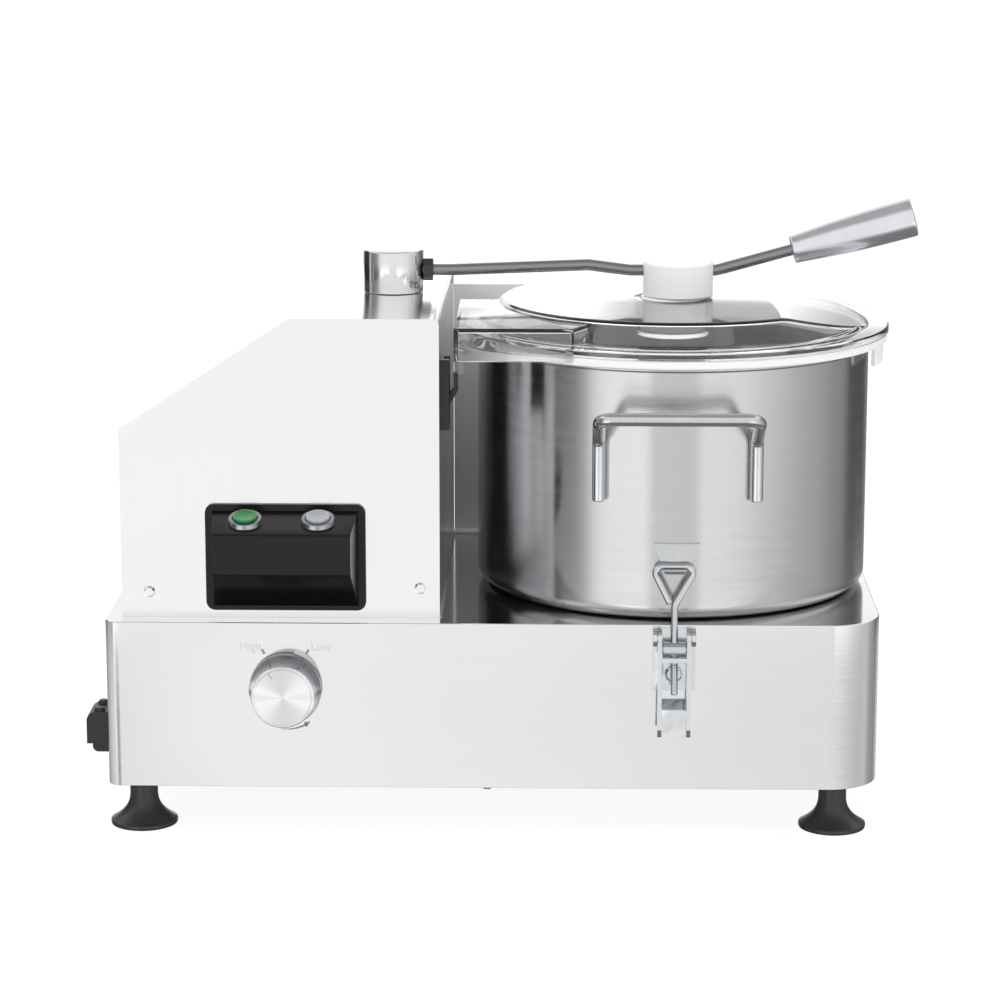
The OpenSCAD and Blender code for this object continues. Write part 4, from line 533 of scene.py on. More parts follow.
# Inside the base: turned aluminium with a dull sheen, and rough cast aluminium that stays matt
pulley_metal = finish("turned_pulley_aluminium", "#B4B6B9", 1.0, 0.32, (9, 9, 0.4), 0.05, 0.06)
cast_metal = finish("cast_motor_aluminium", "#8D9093", 0.9, 0.5, 1.4, 0.10, 0.08, 0.08)
# Stator core: stacked iron under brown winding varnish, with level lines from the sheets
stator_iron = finish("varnished_stator_core", "#6B4A2F", 0.4, 0.5, (20, 20, 0.5), 0.12, 0.08, 0.05)

print("finishes so far:", len(bpy.data.materials))

# %% Plastics and rubber
# Pod: glossy black moulding that mirrors a little of the room. The entry block is matt nylon
pod_black = finish("moulded_black_abs", "#0C0C0D", 0.0, 0.24, 0.7, 0.10, 0.06, 0.002, smudge=25,
                   **{"Specular IOR Level": 0.32})
entry_black = finish("moulded_black_nylon", "#1B1C1E", 0.0, 0.42, 0.5, 0.12, 0.06, 0.012, smudge=8)
# Feet: soft black rubber with a broad grey sheen on the flare
foot_rubber = finish("moulded_black_rubber", "#2C2D2F", 0.0, 0.34, 0.9, 0.12, 0.07, 0.015,
                     smudge=15)
# Belt: dusty rubber without any shine
belt_rubber = finish("ribbed_belt_rubber", "#151515", 0.0, 0.7, 0.6, 0.15, 0.08, 0.03)
# Lid knob and arm pad: waxy white polyethylene. The silicone seal is a shade softer and duller
white_plastic = finish("moulded_white_polyethylene", "#F7F7F6", 0.0, 0.34, 0.8, 0.012, 0.05, 0.004)
seal_white = finish("white_silicone_seal", "#F1F1F0", 0.0, 0.45, 1.1, 0.015, 0.05, 0.006)
# Button caps: a green lens under a clear gloss, a grey cap with metal flakes, and a nickel ring
green_cap = finish("moulded_green_lens", "#1E7A3A", 0.0, 0.22, 1.5, 0.12, 0.05,
                   **{"Coat Weight": 0.4})
grey_cap = finish("moulded_grey_cap", "#AEB1B4", 0.35, 0.26, 1.0, 0.05, 0.05)
bezel_metal = finish("turned_bezel_nickel", "#9C9EA0", 1.0, 0.15, 2, 0.05, 0.04, smudge=8)
# Speed board and motor capacitor: glass laminate and a plain pale shell
board_green = finish("green_board_laminate", "#1D5C3A", 0.0, 0.45, 3, 0.15, 0.08, 0.01)
capacitor_white = finish("moulded_capacitor_shell", "#DCDCD8", 0.0, 0.4, 2, 0.03, 0.05)
# Screen ink: dry and even, pale grey for the words and a darker grey for the ticks. The darker grey
# also serves as painted shade: the groove of the knob's engraved setting line
faint_ink = finish("pale_grey_screen_ink", "#D3D5D7", 0.0, 0.55, 0.4, 0.05, 0.04)
dark_ink_and_groove_shade = finish("mid_grey_ink_and_groove_shade", "#9A9C9E", 0.0, 0.55, 0.4, 0.05, 0.04)
# Sealant: cured grey bead, slightly lumpy
bead_grey = finish("grey_sealant_bead", "#9B9D9F", 0.0, 0.5, 2, 0.12, 0.08, 0.05)
# Clear lid: thick moulded polycarbonate, hardly tinted, its faces faintly uneven from the mould
clear_plastic = finish("clear_moulded_polycarbonate", "#FDFDFE", 0.0, 0.02, 12, 0.003, 0.012,
                       IOR=1.49, **{"Transmission Weight": 1.0})
print("finishes:", len(bpy.data.materials))

# %% [markdown]
# ## Which finish goes on which CAD node
# Parts inside the housing and base keep their CAD meshes, which are right as they are, and only
# change their material. Each part's material slot is set to the finish of the real part.

# %% Finishes for the nodes that stay
KEPT = {
    base_steel: ["base_bottom_plate"],
    zinc: ["foot_bolts", "motor_bolts", "board_standoffs", "pot_shaft", "motor_bearings", "spindle_bearings",
           "knob_grub_screw", "arm_pivot_stud", "motor_mount_plate"],
    pod_black: ["button_switches", "speed_pot", "motor_fan", "shaft_seal"],
    board_green: ["speed_board"],
    cast_metal: ["motor_casing", "motor_end_bells"],
    stator_iron: ["motor_stator"],
    pulley_metal: ["motor_pulley", "spindle_pulley", "bearing_housing", "motor_rotor"],
    belt_rubber: ["drive_belt"],
    blade_steel: ["spindle"],
    capacitor_white: ["run_capacitor"],
}
for material, names in KEPT.items():
    for name in names:
        slots = nodes[name].data.materials
        slots.clear()
        slots.append(material)
print("kept nodes:", sum(len(v) for v in KEPT.values()))


# %% Places that the pieces share, in mm
def box(name):
    """Lowest and highest corner of a CAD node, in mm."""
    return tuple(np.array(corner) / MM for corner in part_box(name))


bowl_low, bowl_high = box("bowl")
bowl_x = (bowl_low[0] + bowl_high[0]) / 2
bowl_r, floor_z = 125.5, bowl_low[2]
base_low, base_high = box("base_shell")
house_low, house_high = box("motor_housing")
front = base_low[1]
print("bowl axis x", round(bowl_x, 2), "floor z", round(floor_z, 2), "front y", round(front, 2))

# %% [markdown]
# ## Base and housing
# The base is a sheet tub, pressed so that its top edge is a soft roll of 3 mm. The housing is one
# strip folded over two end plates, so its front outline is a tight fold. Only those edges get the
# full radius. The cut edges of slots and holes are only deburred.


# %% Sheet covers
def roll_on_top(a, b):
    """1 for an edge in the top plane of the base, 0.25 at its foot, 0.08 for other sharp edges."""
    on_top = (a[:, 2] > base_high[2] - 0.01) & (b[:, 2] > base_high[2] - 0.01)
    at_foot = (a[:, 2] < base_low[2] + 0.01) & (b[:, 2] < base_low[2] + 0.01)
    return np.where(on_top, 1.0, np.where(at_foot, 0.25, 0.08))


def fold_in_front(a, b):
    """1 for an edge in the housing's front plane and on its outline, else 0.15."""
    ahead = (a[:, 1] < house_low[1] + 0.01) & (b[:, 1] < house_low[1] + 0.01)
    return np.where(ahead, 1.0, 0.15)


softened("base_shell", base_steel, 2.6, 5, pick=roll_on_top, new_name="base_tub")
softened("motor_housing", cover_steel, 1.1, 3, pick=fold_in_front, new_name="folded_housing")
softened("housing_back_cover", cover_steel, 0.25)
softened("rear_guard", guard_steel, 0.3)
softened("control_pod", pod_black, 0.9, 3)
softened("cord_entry", entry_black, 0.7, 3)
screws = softened("housing_screws", cover_steel, 0.25)
repaint(screws, entry_black, lambda c: c[:, 0] < base_low[0] - 1)
softened("lid_switch", entry_black, 0.4)
softened("lid_switch_lever", entry_black, 0.4)
print("covers done")

# %% [markdown]
# ## The bowl
# A disc of sheet is spun over a former: a flat floor, a 10 mm radius, a straight wall, and a rim
# rolled outwards over a bead. A tube for the spindle stands in its middle. One closed outline of
# the sheet's two faces is carried round the axis, which also gives the wall its thickness.


# %% Spun bowl
def stand_in(mesh, material, name, sharp_angle=32.0):
    """Settles a mesh and puts it in the place of a CAD node, on the same body."""
    settle(mesh, sharp_angle)
    return place(mesh, material, body_of(name), slot_of(name), (name,))


wall, tube_r, tube_top, top_z = 1.5, 22.0, bowl_low[2] + 93.5, bowl_high[2]
bead = 1.7
arc = np.radians(np.linspace(-90, 90, 13))
outer = eased([(tube_r - wall, floor_z), (bowl_r, floor_z), (bowl_r, top_z - 2 * bead)], [0, 10, 0], 14)
rim = np.stack([bowl_r + bead * np.cos(arc), top_z - bead + bead * np.sin(arc)], 1)
inner = eased([(bowl_r - wall, top_z), (bowl_r - wall, floor_z + wall), (tube_r, floor_z + wall)],
              [0, 8.5, 0], 14)
tube = eased([(tube_r, floor_z + wall), (tube_r, tube_top), (tube_r - 4, tube_top),
              (tube_r - 4, tube_top - wall), (tube_r - wall, tube_top - 4), (tube_r - wall, floor_z)],
             [0, 2.4, 0, 0, 0, 0], 6)
bowl_mesh = turned("spun_bowl", np.concatenate([outer, rim, inner, tube[1:-1]]), (bowl_x, 0, 0),
                   sides=192, closed=True)
stand_in(bowl_mesh, bowl_steel, "bowl")
print("bowl faces", len(bowl_mesh.polygons))

# %% [markdown]
# ## Bowl handles and catches
# Each handle is an 8 mm bar with four bends, welded to the wall by its two legs. The legs rise
# along the wall, lean outwards and meet in a level bar, wide enough for a gloved hand.

# %% Handles
bowl_d, bowl_h = 2 * bowl_r, 159.0
half = 0.386 * bowl_d / 2
leg_y = -math.sqrt((bowl_r + 4) ** 2 - half ** 2)
out_y = leg_y - 0.127 * bowl_d
z0, z1, z2 = (floor_z + share * bowl_h for share in (0.472, 0.711, 0.827))
corners = np.array([(-half, leg_y, z0), (-half, leg_y, z1), (-half, out_y, z2),
                    (half, out_y, z2), (half, leg_y, z1), (half, leg_y, z0)])
bar = eased(corners, [0, 8, 8, 8, 8, 0], 12)


def about_bowl(points, behind):
    """Moves points from the bowl's axis to their place, and half a turn round it for the back."""
    sign = -1 if behind else 1
    return np.array(points) * (sign, sign, 1) + (bowl_x, 0, 0)


def joined(name, meshes):
    """One mesh out of several."""
    bm = bmesh.new()
    for mesh in meshes:
        bm.from_mesh(mesh)
    whole = bpy.data.meshes.new(name)
    bm.to_mesh(whole)
    bm.free()
    return whole


bars = [rod("bar", about_bowl(bar, behind), 4.0) for behind in (False, True)]
stand_in(joined("bowl_bar_handles", bars), bright_steel, "bowl_handles")
softened("bowl_catches", bright_steel, 0.3)
print("handle width mm", round(2 * half, 1))

# %% [markdown]
# ## Rubber feet
# Each foot is a moulded bell: a narrow neck under the base that flares to a flat sole. The flare
# is radius = neck + (sole - neck) (1 - t) to the power 2.6, which is the CAD's own curve, drawn
# with more steps so that the gloss runs over it without facets.

# %% Feet
feet_low, feet_high = box("rubber_feet")
sole_r, neck_r, foot_h = 21.0, 8.75, feet_high[2]
t = np.linspace(0, 1, 26)
flare = np.stack([neck_r + (sole_r - neck_r) * (1 - t) ** 2.6, 3 + (foot_h - 3) * 0.62 * t], 1)
foot_line = np.concatenate([[(0, 0), (sole_r - 1.2, 0), (sole_r - 0.35, 0.35), (sole_r, 1.2)], flare,
                            [(neck_r, foot_h - 0.2), (0, foot_h - 0.2)]])
spots = [(x, y) for x in (feet_low[0] + sole_r, feet_high[0] - sole_r)
         for y in (feet_low[1] + sole_r, feet_high[1] - sole_r)]
feet = [turned("foot", foot_line, (x, y, 0), sides=72) for x, y in spots]
stand_in(joined("bell_feet", feet), foot_rubber, "rubber_feet")
print("feet at", [tuple(round(float(v), 1) for v in s) for s in spots])

# %% [markdown]
# ## Speed knob
# The knob is turned from aluminium bar. Its skirt flares towards the panel, its side is slightly
# hollow, and a thin rim stands round the face. A short line on the face shows the setting.

# %% Knob
knob_low, knob_high = box("speed_knob")
knob_x, knob_z = (knob_low[0] + knob_high[0]) / 2, (knob_low[2] + knob_high[2]) / 2
skirt_r, face_r, knob_len = (knob_high[0] - knob_low[0]) / 2, 19.5, knob_high[1] - knob_low[1]
t = np.linspace(0, 1, 15)
waist = np.stack([skirt_r + (face_r - skirt_r) * t - 0.35 * (skirt_r - face_r) * np.sin(np.pi * t),
                  knob_len * (0.2 + 0.74 * t)], 1)
lip_r, dish = face_r - 2.1, knob_len - 0.4
knob_line = np.concatenate([[(0, 0), (skirt_r - 1, 0), (skirt_r - 0.3, 0.3), (skirt_r, 1)], waist,
                            [(face_r - 0.25, knob_len - 0.35), (face_r - 0.9, knob_len),
                             (face_r - 1.7, knob_len - 0.05), (lip_r, dish)],
                            np.stack([np.linspace(lip_r, 0, 12)[1:], np.full(11, dish)], 1)])
knob_mesh = turned("turned_speed_knob", knob_line, (knob_x, knob_high[1], knob_z), (0, -1, 0), 144)
knob = stand_in(knob_mesh, knob_aluminium, "speed_knob", 24)
# The side's faces get the copy of the knob's aluminium that is painted dark as shade
repaint(knob, knob_side_painted_shade, lambda c: c[:, 1] > knob_low[1] + 1.3)
print("knob at", round(knob_x, 1), round(knob_z, 1))

# %% [markdown]
# ## Printed marks at the knob
# Two words, two ticks and a tapering arc are screen printed on the base in pale grey, and a short
# line is engraved in the knob's face, its groove drawn as a dark film of painted shade. Each is a
# film a few hundredths of a millimetre thick.


# %% Solids from corners, and meshes as shown
def solid(name, points, faces):
    """A mesh from corners in mm and faces with any number of corners, turned outwards."""
    mesh = bpy.data.meshes.new(name)
    mesh.from_pydata((np.array(points, float) * MM).tolist(), [], faces)
    bm = bmesh.new()
    bm.from_mesh(mesh)
    bmesh.ops.recalc_face_normals(bm, faces=bm.faces)
    bm.to_mesh(mesh)
    bm.free()
    return mesh


def as_shown(*carriers):
    """What the first object shows, as a plain mesh. All the carriers are removed again."""
    for each in carriers:
        in_scene(each)
    seen_by = bpy.context.evaluated_depsgraph_get()
    mesh = bpy.data.meshes.new_from_object(carriers[0].evaluated_get(seen_by))
    for each in carriers:
        bpy.data.objects.remove(each)
    return mesh


# %% Thin plates, lines and words
def film(name, outlines, y, thick=0.04):
    """Thin plates in front of a plane that faces the camera: outlines are (x, z) loops in mm."""
    verts, faces = [], []
    for loop in outlines:
        loop, start, n = np.array(loop, float), len(verts), len(loop)
        for depth in (y, y - thick):
            verts += np.column_stack([loop[:, 0], np.full(n, depth), loop[:, 1]]).tolist()
        faces += [list(range(start, start + n)), list(range(start + 2 * n - 1, start + n - 1, -1))]
        faces += [(start + i, start + n + i, start + n + (i + 1) % n, start + (i + 1) % n)
                  for i in range(n)]
    return solid(name, verts, faces)


def strip(points, widths):
    """A closed loop round a line: each point moved half its width to either side."""
    points = np.array(points, float)
    run = np.gradient(points, axis=0)
    run /= np.linalg.norm(run, axis=1, keepdims=True)
    off = np.stack([-run[:, 1], run[:, 0]], 1) * np.array(widths, float)[:, None] / 2
    return np.concatenate([points + off, (points - off)[::-1]])


def on_ring(radius, degrees):
    """Points on a ring round the knob's axis, by angle from the right, upwards."""
    a = np.radians(degrees)
    return np.stack([knob_x + radius * np.cos(a), knob_z + radius * np.sin(a)], 1)


def word(text, x, z, size):
    """A printed word that starts at x and stands on z."""
    font = bpy.data.curves.new(text, "FONT")
    font.body, font.size, font.extrude = text, size * MM, 0.02 * MM
    mesh = as_shown(bpy.data.objects.new(text, font))
    mesh.name = "word_" + text.lower()
    upright = Matrix.Rotation(math.pi / 2, 4, "X")
    mesh.transform(Matrix.Translation((x * MM, (front - 0.05) * MM, z * MM)) @ upright)
    return mesh

# %% Printed marks
word_foot, word_size = 119.6, 7.2
for text, x in (("High", -162.6), ("Low", -118.6)):
    place(word(text, x, word_foot, word_size), faint_ink, "machine", "steel_sheet")
tick_ends, tick_lean = np.array([25.2, 28.6]), math.radians(30.5)
ticks = [strip(np.stack([knob_x + tick_ends * side * math.sin(tick_lean),
                         knob_z + tick_ends * math.cos(tick_lean)], 1), [1.6, 1.6]) for side in (-1, 1)]
taper = strip(on_ring(np.linspace(24.2, 22.6, 24), np.linspace(76, 32, 24)), np.linspace(3.6, 0.3, 24))
sweep = strip(on_ring(np.full(24, 26.4), np.linspace(-97, -62, 24)), np.linspace(0.3, 1.5, 24))
head = on_ring(np.array([28.2, 26.1, 24.4]), np.array([-63.5, -54.5, -63.5]))
place(film("printed_ticks", ticks + [sweep, head], front - 0.02), dark_ink_and_groove_shade, "machine", "steel_sheet")
place(film("printed_taper", [taper], front - 0.02), faint_ink, "machine", "steel_sheet")
# The knob's engraved line: a dark film that paints the shade in its groove
setting = math.radians(119)
mark = np.array([13.6, 17.2])[:, None] * (math.cos(setting), math.sin(setting)) + (knob_x, knob_z)
place(film("knob_setting_groove_painted_shade", [strip(mark, [0.7, 0.7])], knob_low[1] + 0.39), dark_ink_and_groove_shade,
      "speed_knob_body", "turned_aluminium")
print("marks printed")

# %% [markdown]
# ## Buttons
# Each button is a metal ring with a cap that sinks into it. The caps are dished so that a fingertip
# finds them. The start cap is a green lens over a lamp, and the stop cap is plain grey.

# %% Buttons
softened("button_bezels", bezel_metal, 0.35, 3)
softened("start_button", green_cap, 0.45, 3)
softened("stop_button", grey_cap, 0.45, 3)
print("buttons done")

# %% [markdown]
# ## Lid: clear shell, white seal and knob
# The shell is a thick clear moulding: a level top with a sloping shoulder, a flat flange, and a
# well for the knob. Its right side is cut by one sloping plane, as if the dome had been planed, and
# a five-sided hood grows out on the left. A clear part shows every flaw of its surface, so the dome
# is one smooth skin over (radius, angle), and the planed side comes from a soft minimum of two
# heights: -k log(exp(-a/k) + exp(-b/k)), which leaves a rounded crease as a mould does.

# %% Clear dome
rim_z, top_lid, lid_t = bowl_high[2], box("lid_shell")[1][2], 2.8
flange_r, flange_low = 138.0, rim_z + 5.5
flange_top, slope_x, slope = flange_low + 5, 66.0, math.tan(math.radians(13.8))
top_r, shoulder_r, skirt_in = 110, 125, 120.6
edge_r, collar_r, cup_r, well_r = 26, 25.5, 23.5, 21.3
over = eased([(edge_r, top_lid), (top_r, top_lid), (shoulder_r, flange_top), (flange_r, flange_top)],
             [0, 3.5, 2, 0], 10)
under = eased([(collar_r, top_lid - lid_t), (108.9, top_lid - lid_t), (skirt_in, flange_top + 0.4),
               (skirt_in, flange_low)], [0, 2.5, 2, 0], 10)


def dense(line, step):
    """The same line with more points, so that none are further apart than the step."""
    parts = [np.linspace(p, q, max(2, int(np.linalg.norm(q - p) / step) + 2))[:-1]
             for p, q in zip(line, line[1:])]
    return np.concatenate(parts + [line[-1:]])


over, under = dense(over, 1.2), dense(under, 1.2)
rim = eased([over[-1], (flange_r, flange_low), under[-1]], [0, 0.8, 0], 5)[1:-1]
rim = np.concatenate([[(flange_r, flange_top - 0.9)], rim])
over[-1] = (flange_r - 0.9, flange_top)
well = eased([(collar_r, top_lid - lid_t), (collar_r, rim_z + 9.5), (cup_r, rim_z + 9.5),
              (cup_r, rim_z + 0.3), (0, rim_z + 0.3)], [0, 0.5, 0.5, 0.8, 0], 4)[1:]
inside = eased([(0, rim_z + 3.1), (well_r, rim_z + 3.1), (well_r, top_lid), (edge_r, top_lid)],
               [0, 0.8, 0.9, 0], 5)[:-1]
section = np.concatenate([inside, over, rim, under[::-1], well])
# 1 marks the points of the outside and 2 those of the inside, which the plane cuts
part_of = np.repeat([0, 1, 0, 2, 0], [len(inside), len(over), len(rim), len(under), len(well)])
angle = np.linspace(0, 2 * np.pi, 288, endpoint=False)[:, None]
x, y = section[:, 0] * np.cos(angle), section[:, 0] * np.sin(angle)
plane = top_lid - (x - slope_x) * slope
CREASE = 0.22


def soft_min(a, b):
    """Smooth smaller one of two heights, in a form that cannot overflow."""
    low = np.minimum(a, b)
    return low - CREASE * np.log1p(np.exp(-np.abs(a - b) / CREASE))


flat = np.broadcast_to(section[:, 1], x.shape)
cut_top = np.maximum(soft_min(flat, plane), np.minimum(flat, flange_top))
cut_under = np.maximum(soft_min(flat, plane - lid_t / math.cos(math.atan(slope))), flange_low)
right = x > 30
z = np.where((part_of == 1) & right, cut_top, np.where((part_of == 2) & right, cut_under, flat))
dome = skin("clear_dome", np.stack([x + bowl_x, y, z], -1), True, False)
settle(dome, 38)
print("dome faces", len(dome.polygons))


# %% Hood and prong, cut to the dome's outside
def prism(name, plan, z0, z1, inner=None, roof=0.0):
    """A closed upright prism over a plan; an inner plan with a roof makes it a box open below."""
    plan = np.array(plan, float)
    n = len(plan)
    rings = [np.column_stack([plan, np.full(n, z0)]), np.column_stack([plan, np.full(n, z1)])]
    if inner is not None:
        inner = np.array(inner, float)
        rings += [np.column_stack([inner, np.full(n, z0)]), np.column_stack([inner, np.full(n, z1 - roof)])]
    faces = [(i, (i + 1) % n, n + (i + 1) % n, n + i) for i in range(n)] + [tuple(range(n, 2 * n))]
    if inner is None:
        faces.append(tuple(range(n - 1, -1, -1)))
    else:
        faces += [(2 * n + i, 3 * n + i, 3 * n + (i + 1) % n, 2 * n + (i + 1) % n) for i in range(n)]
        faces += [tuple(range(4 * n - 1, 3 * n - 1, -1))]
        faces += [(i, 2 * n + i, 2 * n + (i + 1) % n, (i + 1) % n) for i in range(n)]
    return solid(name, np.concatenate(rings), faces)


def cut_away(mesh, tool, soften):
    """The mesh with rounded edges, less the tool, as a plain mesh without live modifiers."""
    made = [bpy.data.objects.new(m.name, m) for m in (mesh, tool)]
    edge = made[0].modifiers.new("round", "BEVEL")
    edge.width, edge.segments, edge.limit_method = soften * MM, 3, "ANGLE"
    less = made[0].modifiers.new("less", "BOOLEAN")
    less.operation, less.solver, less.object = "DIFFERENCE", "EXACT", made[1]
    return as_shown(*made)


w, left, ahead, nose = lid_t, -137, -122, -40.2
hood_plan = np.array([(left, ahead), (-64, ahead), (nose, -71), (nose, 0), (left, 0)])
inner_plan = np.array([(left + w, ahead + w), (-64 - 0.62 * w, ahead + w), (nose - w, -71 + 0.23 * w),
                       (nose - w, -w), (left + w, -w)])
prong_plan = np.array([(-135, -96.5), (-132, -96.5), (-132, -91.5), (-135, -91.5)])
to_bowl = np.array([bowl_x, 0])
hood = prism("hood", hood_plan + to_bowl, rim_z + 2.5, top_lid - 2, inner_plan + to_bowl, w)
# The tool ends just inside the dome's outside, so that hood and dome overlap by a hair
tool = turned("tool", [(0, 250), (flange_r - 0.1, 250), (flange_r - 0.1, flange_top - 0.05),
                       (124.95, flange_top - 0.05), (109.95, top_lid - 0.05), (0, top_lid - 0.05)],
              (bowl_x, 0, 0), sides=288)
settle(tool)
hood = cut_away(hood, tool, 0.5)
prong = prism("prong", prong_plan + to_bowl, rim_z - 9.5, rim_z + 8)
clear_mesh = joined("clear_lid", [dome, hood, prong])
smooth(clear_mesh, 38)
place(clear_mesh, clear_plastic, body_of("lid_shell"), slot_of("lid_shell"), ("lid_shell",))
print("lid faces", len(clear_mesh.polygons), "hood faces", len(hood.polygons))

# %% Seal ring with its stop tab
seal_r, spigot_r, inner_r = 137.0, 121.5, 118.7
lid_floor, seal_top = rim_z + 0.3, rim_z + 5.42
seal_foot, tab_foot, tab_head = lid_floor - 8, lid_floor - 12, lid_floor + 2.6
seal_line = eased([(inner_r, lid_floor + 2), (inner_r, seal_foot), (spigot_r, seal_foot),
                   (spigot_r, lid_floor), (seal_r, lid_floor), (seal_r, seal_top), (inner_r, seal_top),
                   (inner_r, lid_floor + 2)], [0, 0.8, 0.8, 0.3, 1.1, 1.1, 0.6, 0], 5)[:-1]
ring_mesh = turned("white_seal_ring", seal_line, (bowl_x, 0, 0), sides=192, closed=True)
tab_line = eased([(133.6, tab_foot), (135, tab_foot), (135, tab_head), (132.2, tab_head),
                  (132.2, tab_foot), (133.6, tab_foot)], [0, 0.9, 0.2, 0.2, 0.9, 0], 4)[:-1]
centre = tab_line.mean(axis=0)
angles = np.radians(np.concatenate([[-21, -21], np.linspace(-20.8, 20.8, 40), [21, 21]]))
shrink = np.concatenate([[0, 0.8], np.ones(40), [0.8, 0]])[:, None, None]
section = centre + (tab_line - centre)[None] * shrink
grid = np.stack([section[:, :, 0] * np.cos(angles)[:, None], section[:, :, 0] * np.sin(angles)[:, None],
                 section[:, :, 1]], -1) + (bowl_x, 0, 0)
tab_mesh = skin("stop_tab", grid, False, True)
stand_in(ring_mesh, seal_white, "lid_seal")
settle(tab_mesh)
place(tab_mesh, seal_white, body_of("lid_seal"), slot_of("lid_seal"))
print("seal faces", len(ring_mesh.polygons), "tab faces", len(tab_mesh.polygons))


# %% Knob in the lid's middle
def stub(name, new_name, material, corners, steps, sides, across=1):
    """Turns a plain round piece with rounded corners to the box of the CAD node that it replaces."""
    low, high = box(name)
    r, h = (high[across] - low[across]) / 2, high[2] - low[2]
    outline = eased([(0, 0), (r, 0), (r, h), (0, h)], [0, *corners, 0], steps)
    centre = ((low[0] + high[0]) / 2, 0, low[2])
    stand_in(turned(new_name, outline, centre, sides=sides), material, name)
    return centre[0], r


knob_middle, knob_r = stub("lid_knob", "turned_lid_knob", white_plastic, (1.2, 1.1), 6, 96, 0)
print("lid done, knob middle and radius", round(knob_middle, 1), round(knob_r, 1))

# %% [markdown]
# ## Swinging arm
# A turned post stands on the housing and holds a bent rod with a nut. The rod presses a white pad
# on the lid's knob and ends in a thick turned grip. The grip swells towards its end, so that a wet
# hand cannot slip off: radius = 9 + 3.5 (t + 0.28 sin 180 t), with t running along it.

# %% Post and nut
post_x, post_r = stub("arm_post", "turned_arm_post", post_steel, (0.5, 1.3), 6, 128)
rod_z = house_high[2] + 14
softened("arm_nut", nut_oxide, 0.5, 3)
print("post at x", round(post_x, 1), "radius", round(post_r, 1))

# %% Bent rod, pad and grip
rise, grip_x, climb, rod_r = math.radians(15.5), 182.335, 48.7, 3.6


def grip_at(d):
    """The point on the grip's axis that lies d mm beyond its inner end."""
    return np.array([grip_x + d * math.cos(rise), 0, rod_z + climb * math.tan(rise) + d * math.sin(rise)])


arm_line = eased([(post_x - 0.36 * 2 * post_r, 0, rod_z), (post_x + 2 * post_r, 0, rod_z),
                  (bowl_x - 54.5, 0, rod_z + 3.4), (bowl_x - 28.5, 0, rod_z), (bowl_x + 27, 0, rod_z),
                  grip_at(64)], [0, 16, 16, 16, 16, 0], 16)
stand_in(rod("bent_arm_rod", arm_line, rod_r, 72), oxide_steel, "arm_rod")
stub("arm_pad", "turned_arm_pad", white_plastic, (0.9, 4), 12, 128)
t = np.linspace(0, 1, 30)
grip_line = np.concatenate([[(0, 0), (6.9, 0), (7.4, 0.25), (8.5, 0.3), (8.86, 0.7), (9, 1.5)],
                            np.stack([9 + 3.5 * (t + 0.28 * np.sin(np.pi * t)), 1.5 + 77 * t], 1)[1:-1],
                            [(12.5, 78.5), (12.45, 79.1), (12.1, 79.6), (11.5, 79.9), (10.8, 80), (0, 80)]])
grip_mesh = turned("turned_arm_grip", grip_line, grip_at(0), (math.cos(rise), 0, math.sin(rise)), 96)
stand_in(grip_mesh, grip_metal, "arm_grip", 40)
print("arm done, rod points", len(arm_line))

# %% [markdown]
# ## Draw latches
# A plate holds a lever on a pin. A threaded hook passes through a cross bar in the lever, and its
# bent wire ends in a bar that pulls on the bowl's catch. Turning the hook sets the pull, so its
# lower half is threaded. The thread is a helix: the radius follows a saw of height and angle.

# %% Latch plates, levers and pins
for name, bevel in (("latch_plates", 0.3), ("latch_pins", 0.3), ("front_latch_lever", 0.35),
                    ("rear_latch_lever", 0.35)):
    piece = softened(name, zinc, bevel)
    print(name, "faces", len(piece.data.polygons))

# %% Hooks
lean, wire, pitch = math.radians(11.9061), 4.4, 1.6
trunnion_z, pivot_y = 123.2, -140.5
tail, neck, hook_bar = ((z - trunnion_z) / math.cos(lean) for z in (96.0, 149.5, 173.0))
turns, half_bar = 14, 14.1
thread_top = tail + turns * pitch


def leaned(points):
    """Points in the hook's own plane (x, up) to the latch's place, before the half turn."""
    points = np.array(points, float)
    return np.stack([points[:, 0] - 1.5, pivot_y + points[:, 1] * math.sin(lean),
                     trunnion_z + points[:, 1] * math.cos(lean)], 1)


def saw(a, h):
    """Thread: the radius rises and falls by 8 % once per pitch, shifted by the angle."""
    step = (h - tail) / pitch - a / (2 * np.pi)
    wave = 4 * np.abs(step - np.floor(step + 0.5)) - 1
    fade = np.clip((h - tail) / pitch, 0, 1) * np.clip((thread_top - h) / pitch, 0, 1)
    return 1 + 0.08 * wave * fade


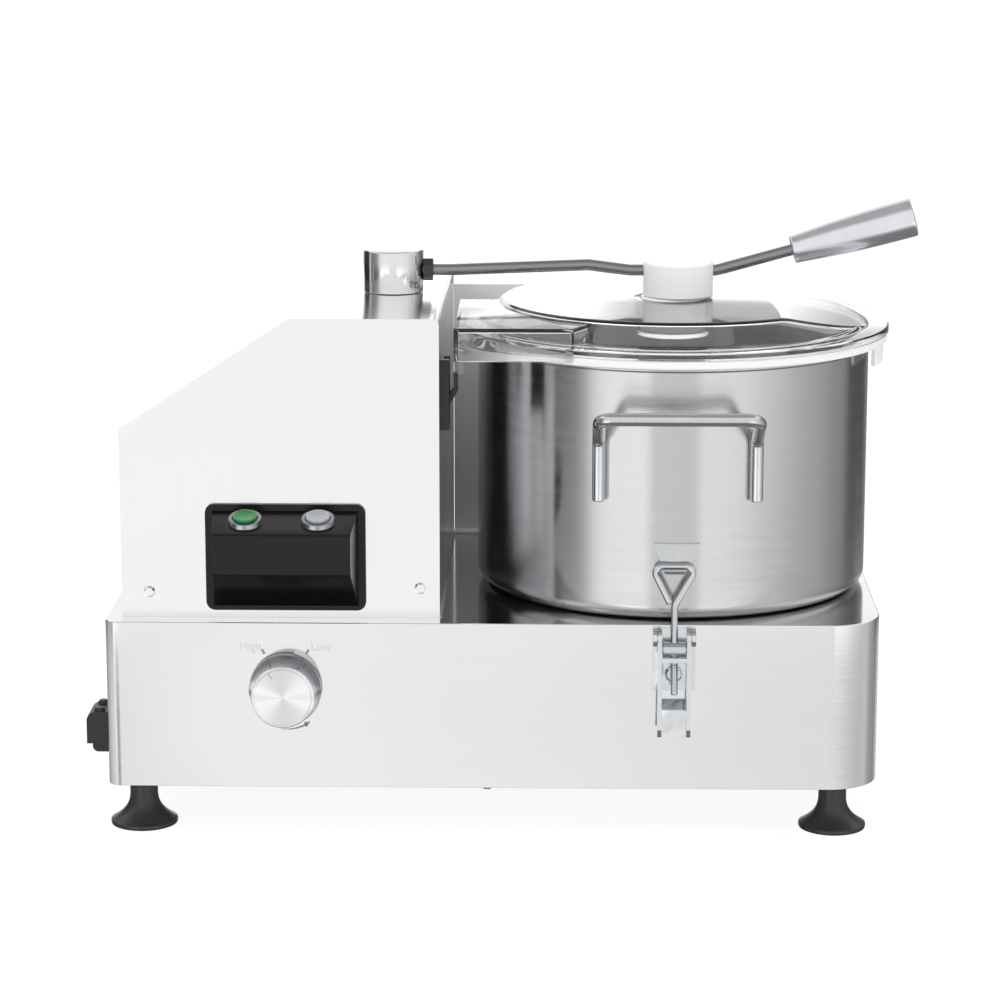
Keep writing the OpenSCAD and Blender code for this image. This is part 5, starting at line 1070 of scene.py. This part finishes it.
def hook(name, behind):
    """One hook: threaded tail, bent wire, and the cross bar with its two pins."""
    line = leaned(eased([(0, thread_top - 0.4), (0, neck), (half_bar, hook_bar), (-half_bar, hook_bar),
                         (-0.62 * wire, neck + 0.3 * wire)], [0, 3.96, 3.96, 3.96, 0], 14))
    rows = np.linspace(tail + 0.5, thread_top, turns * 10)
    bolt = np.concatenate([[(0, tail), (wire / 2 - 0.5, tail)],
                           np.stack([np.full(len(rows), wire / 2), rows], 1), [(0, thread_top)]])
    end = [(0, -10.2), (1.6, -10.2), (1.95, -9.9), (1.95, -7.2), (4.35, -7.2), (4.75, -6.8)]
    bar_line = end + [(r, -h) for r, h in reversed(end)]
    middle = (-1.5, pivot_y, trunnion_z)
    mesh = joined(name, [rod("wire", line, wire / 2, 24, 0.5),
                         turned("tail", bolt, middle, (0, math.sin(lean), math.cos(lean)), 40, ripple=saw),
                         turned("cross_bar", bar_line, middle, (1, 0, 0), 48)])
    mesh.transform(Matrix.Translation((bowl_x * MM, 0, 0)) @ Matrix.Rotation(math.pi * behind, 4, "Z"))
    return mesh


for name, behind in (("front_latch_hook", 0), ("rear_latch_hook", 1)):
    stand_in(hook(name + "_wire", behind), bright_steel, name)
print("latches done, thread rises to", round(thread_top, 2))

# %% [markdown]
# ## Knives
# The knives are ground from plate, the hub is moulded in black, and a nut holds the stack down.
# They show only dimly through the lid, but they are finished for a look into the open bowl.

# %% Knives and hub
for name, material, bevel, steps in (("blade_hub", entry_black, 0.6, 3),
                                     ("lower_blade", blade_steel, 0.25, 2),
                                     ("upper_blade", blade_steel, 0.25, 2),
                                     ("blade_nut", entry_black, 0.6, 3)):
    piece = softened(name, material, bevel, steps)
    print(name, "faces", len(piece.data.polygons))

# %% [markdown]
# ## Small things
# A bead of grey sealant closes the joint between the housing and the base. A screw head shows
# under the front edge, where the bottom plate is held.

# %% Sealant bead and front screw
x = house_high[0] + 0.35
y = np.linspace(house_low[1] + 1, house_high[1] - 3, 60)
wander = 0.12 * np.sin(y * 0.31) + 0.08 * np.sin(y * 0.87)
bead_line = np.stack([x + wander, y, base_high[2] + 0.25 + 0.5 * wander], 1)
bead_mesh = rod("sealant_bead", bead_line, 0.85, 14, 0.3)
screw_line = eased([(0, 2.2), (3.4, 2.2), (3.4, 1.2), (2.4, 0), (0, 0)], [0, 0.2, 0.8, 1.2, 0], 5)
screw_mesh = turned("front_edge_screw", screw_line, (-10, front + 6, base_low[2] - 2.2), sides=40)
for mesh, material, slot in ((bead_mesh, bead_grey, "satin_steel_sheet"),
                             (screw_mesh, zinc, "zinc_fasteners")):
    settle(mesh)
    place(mesh, material, "machine", slot)
    print(mesh.name, "faces", len(mesh.polygons))
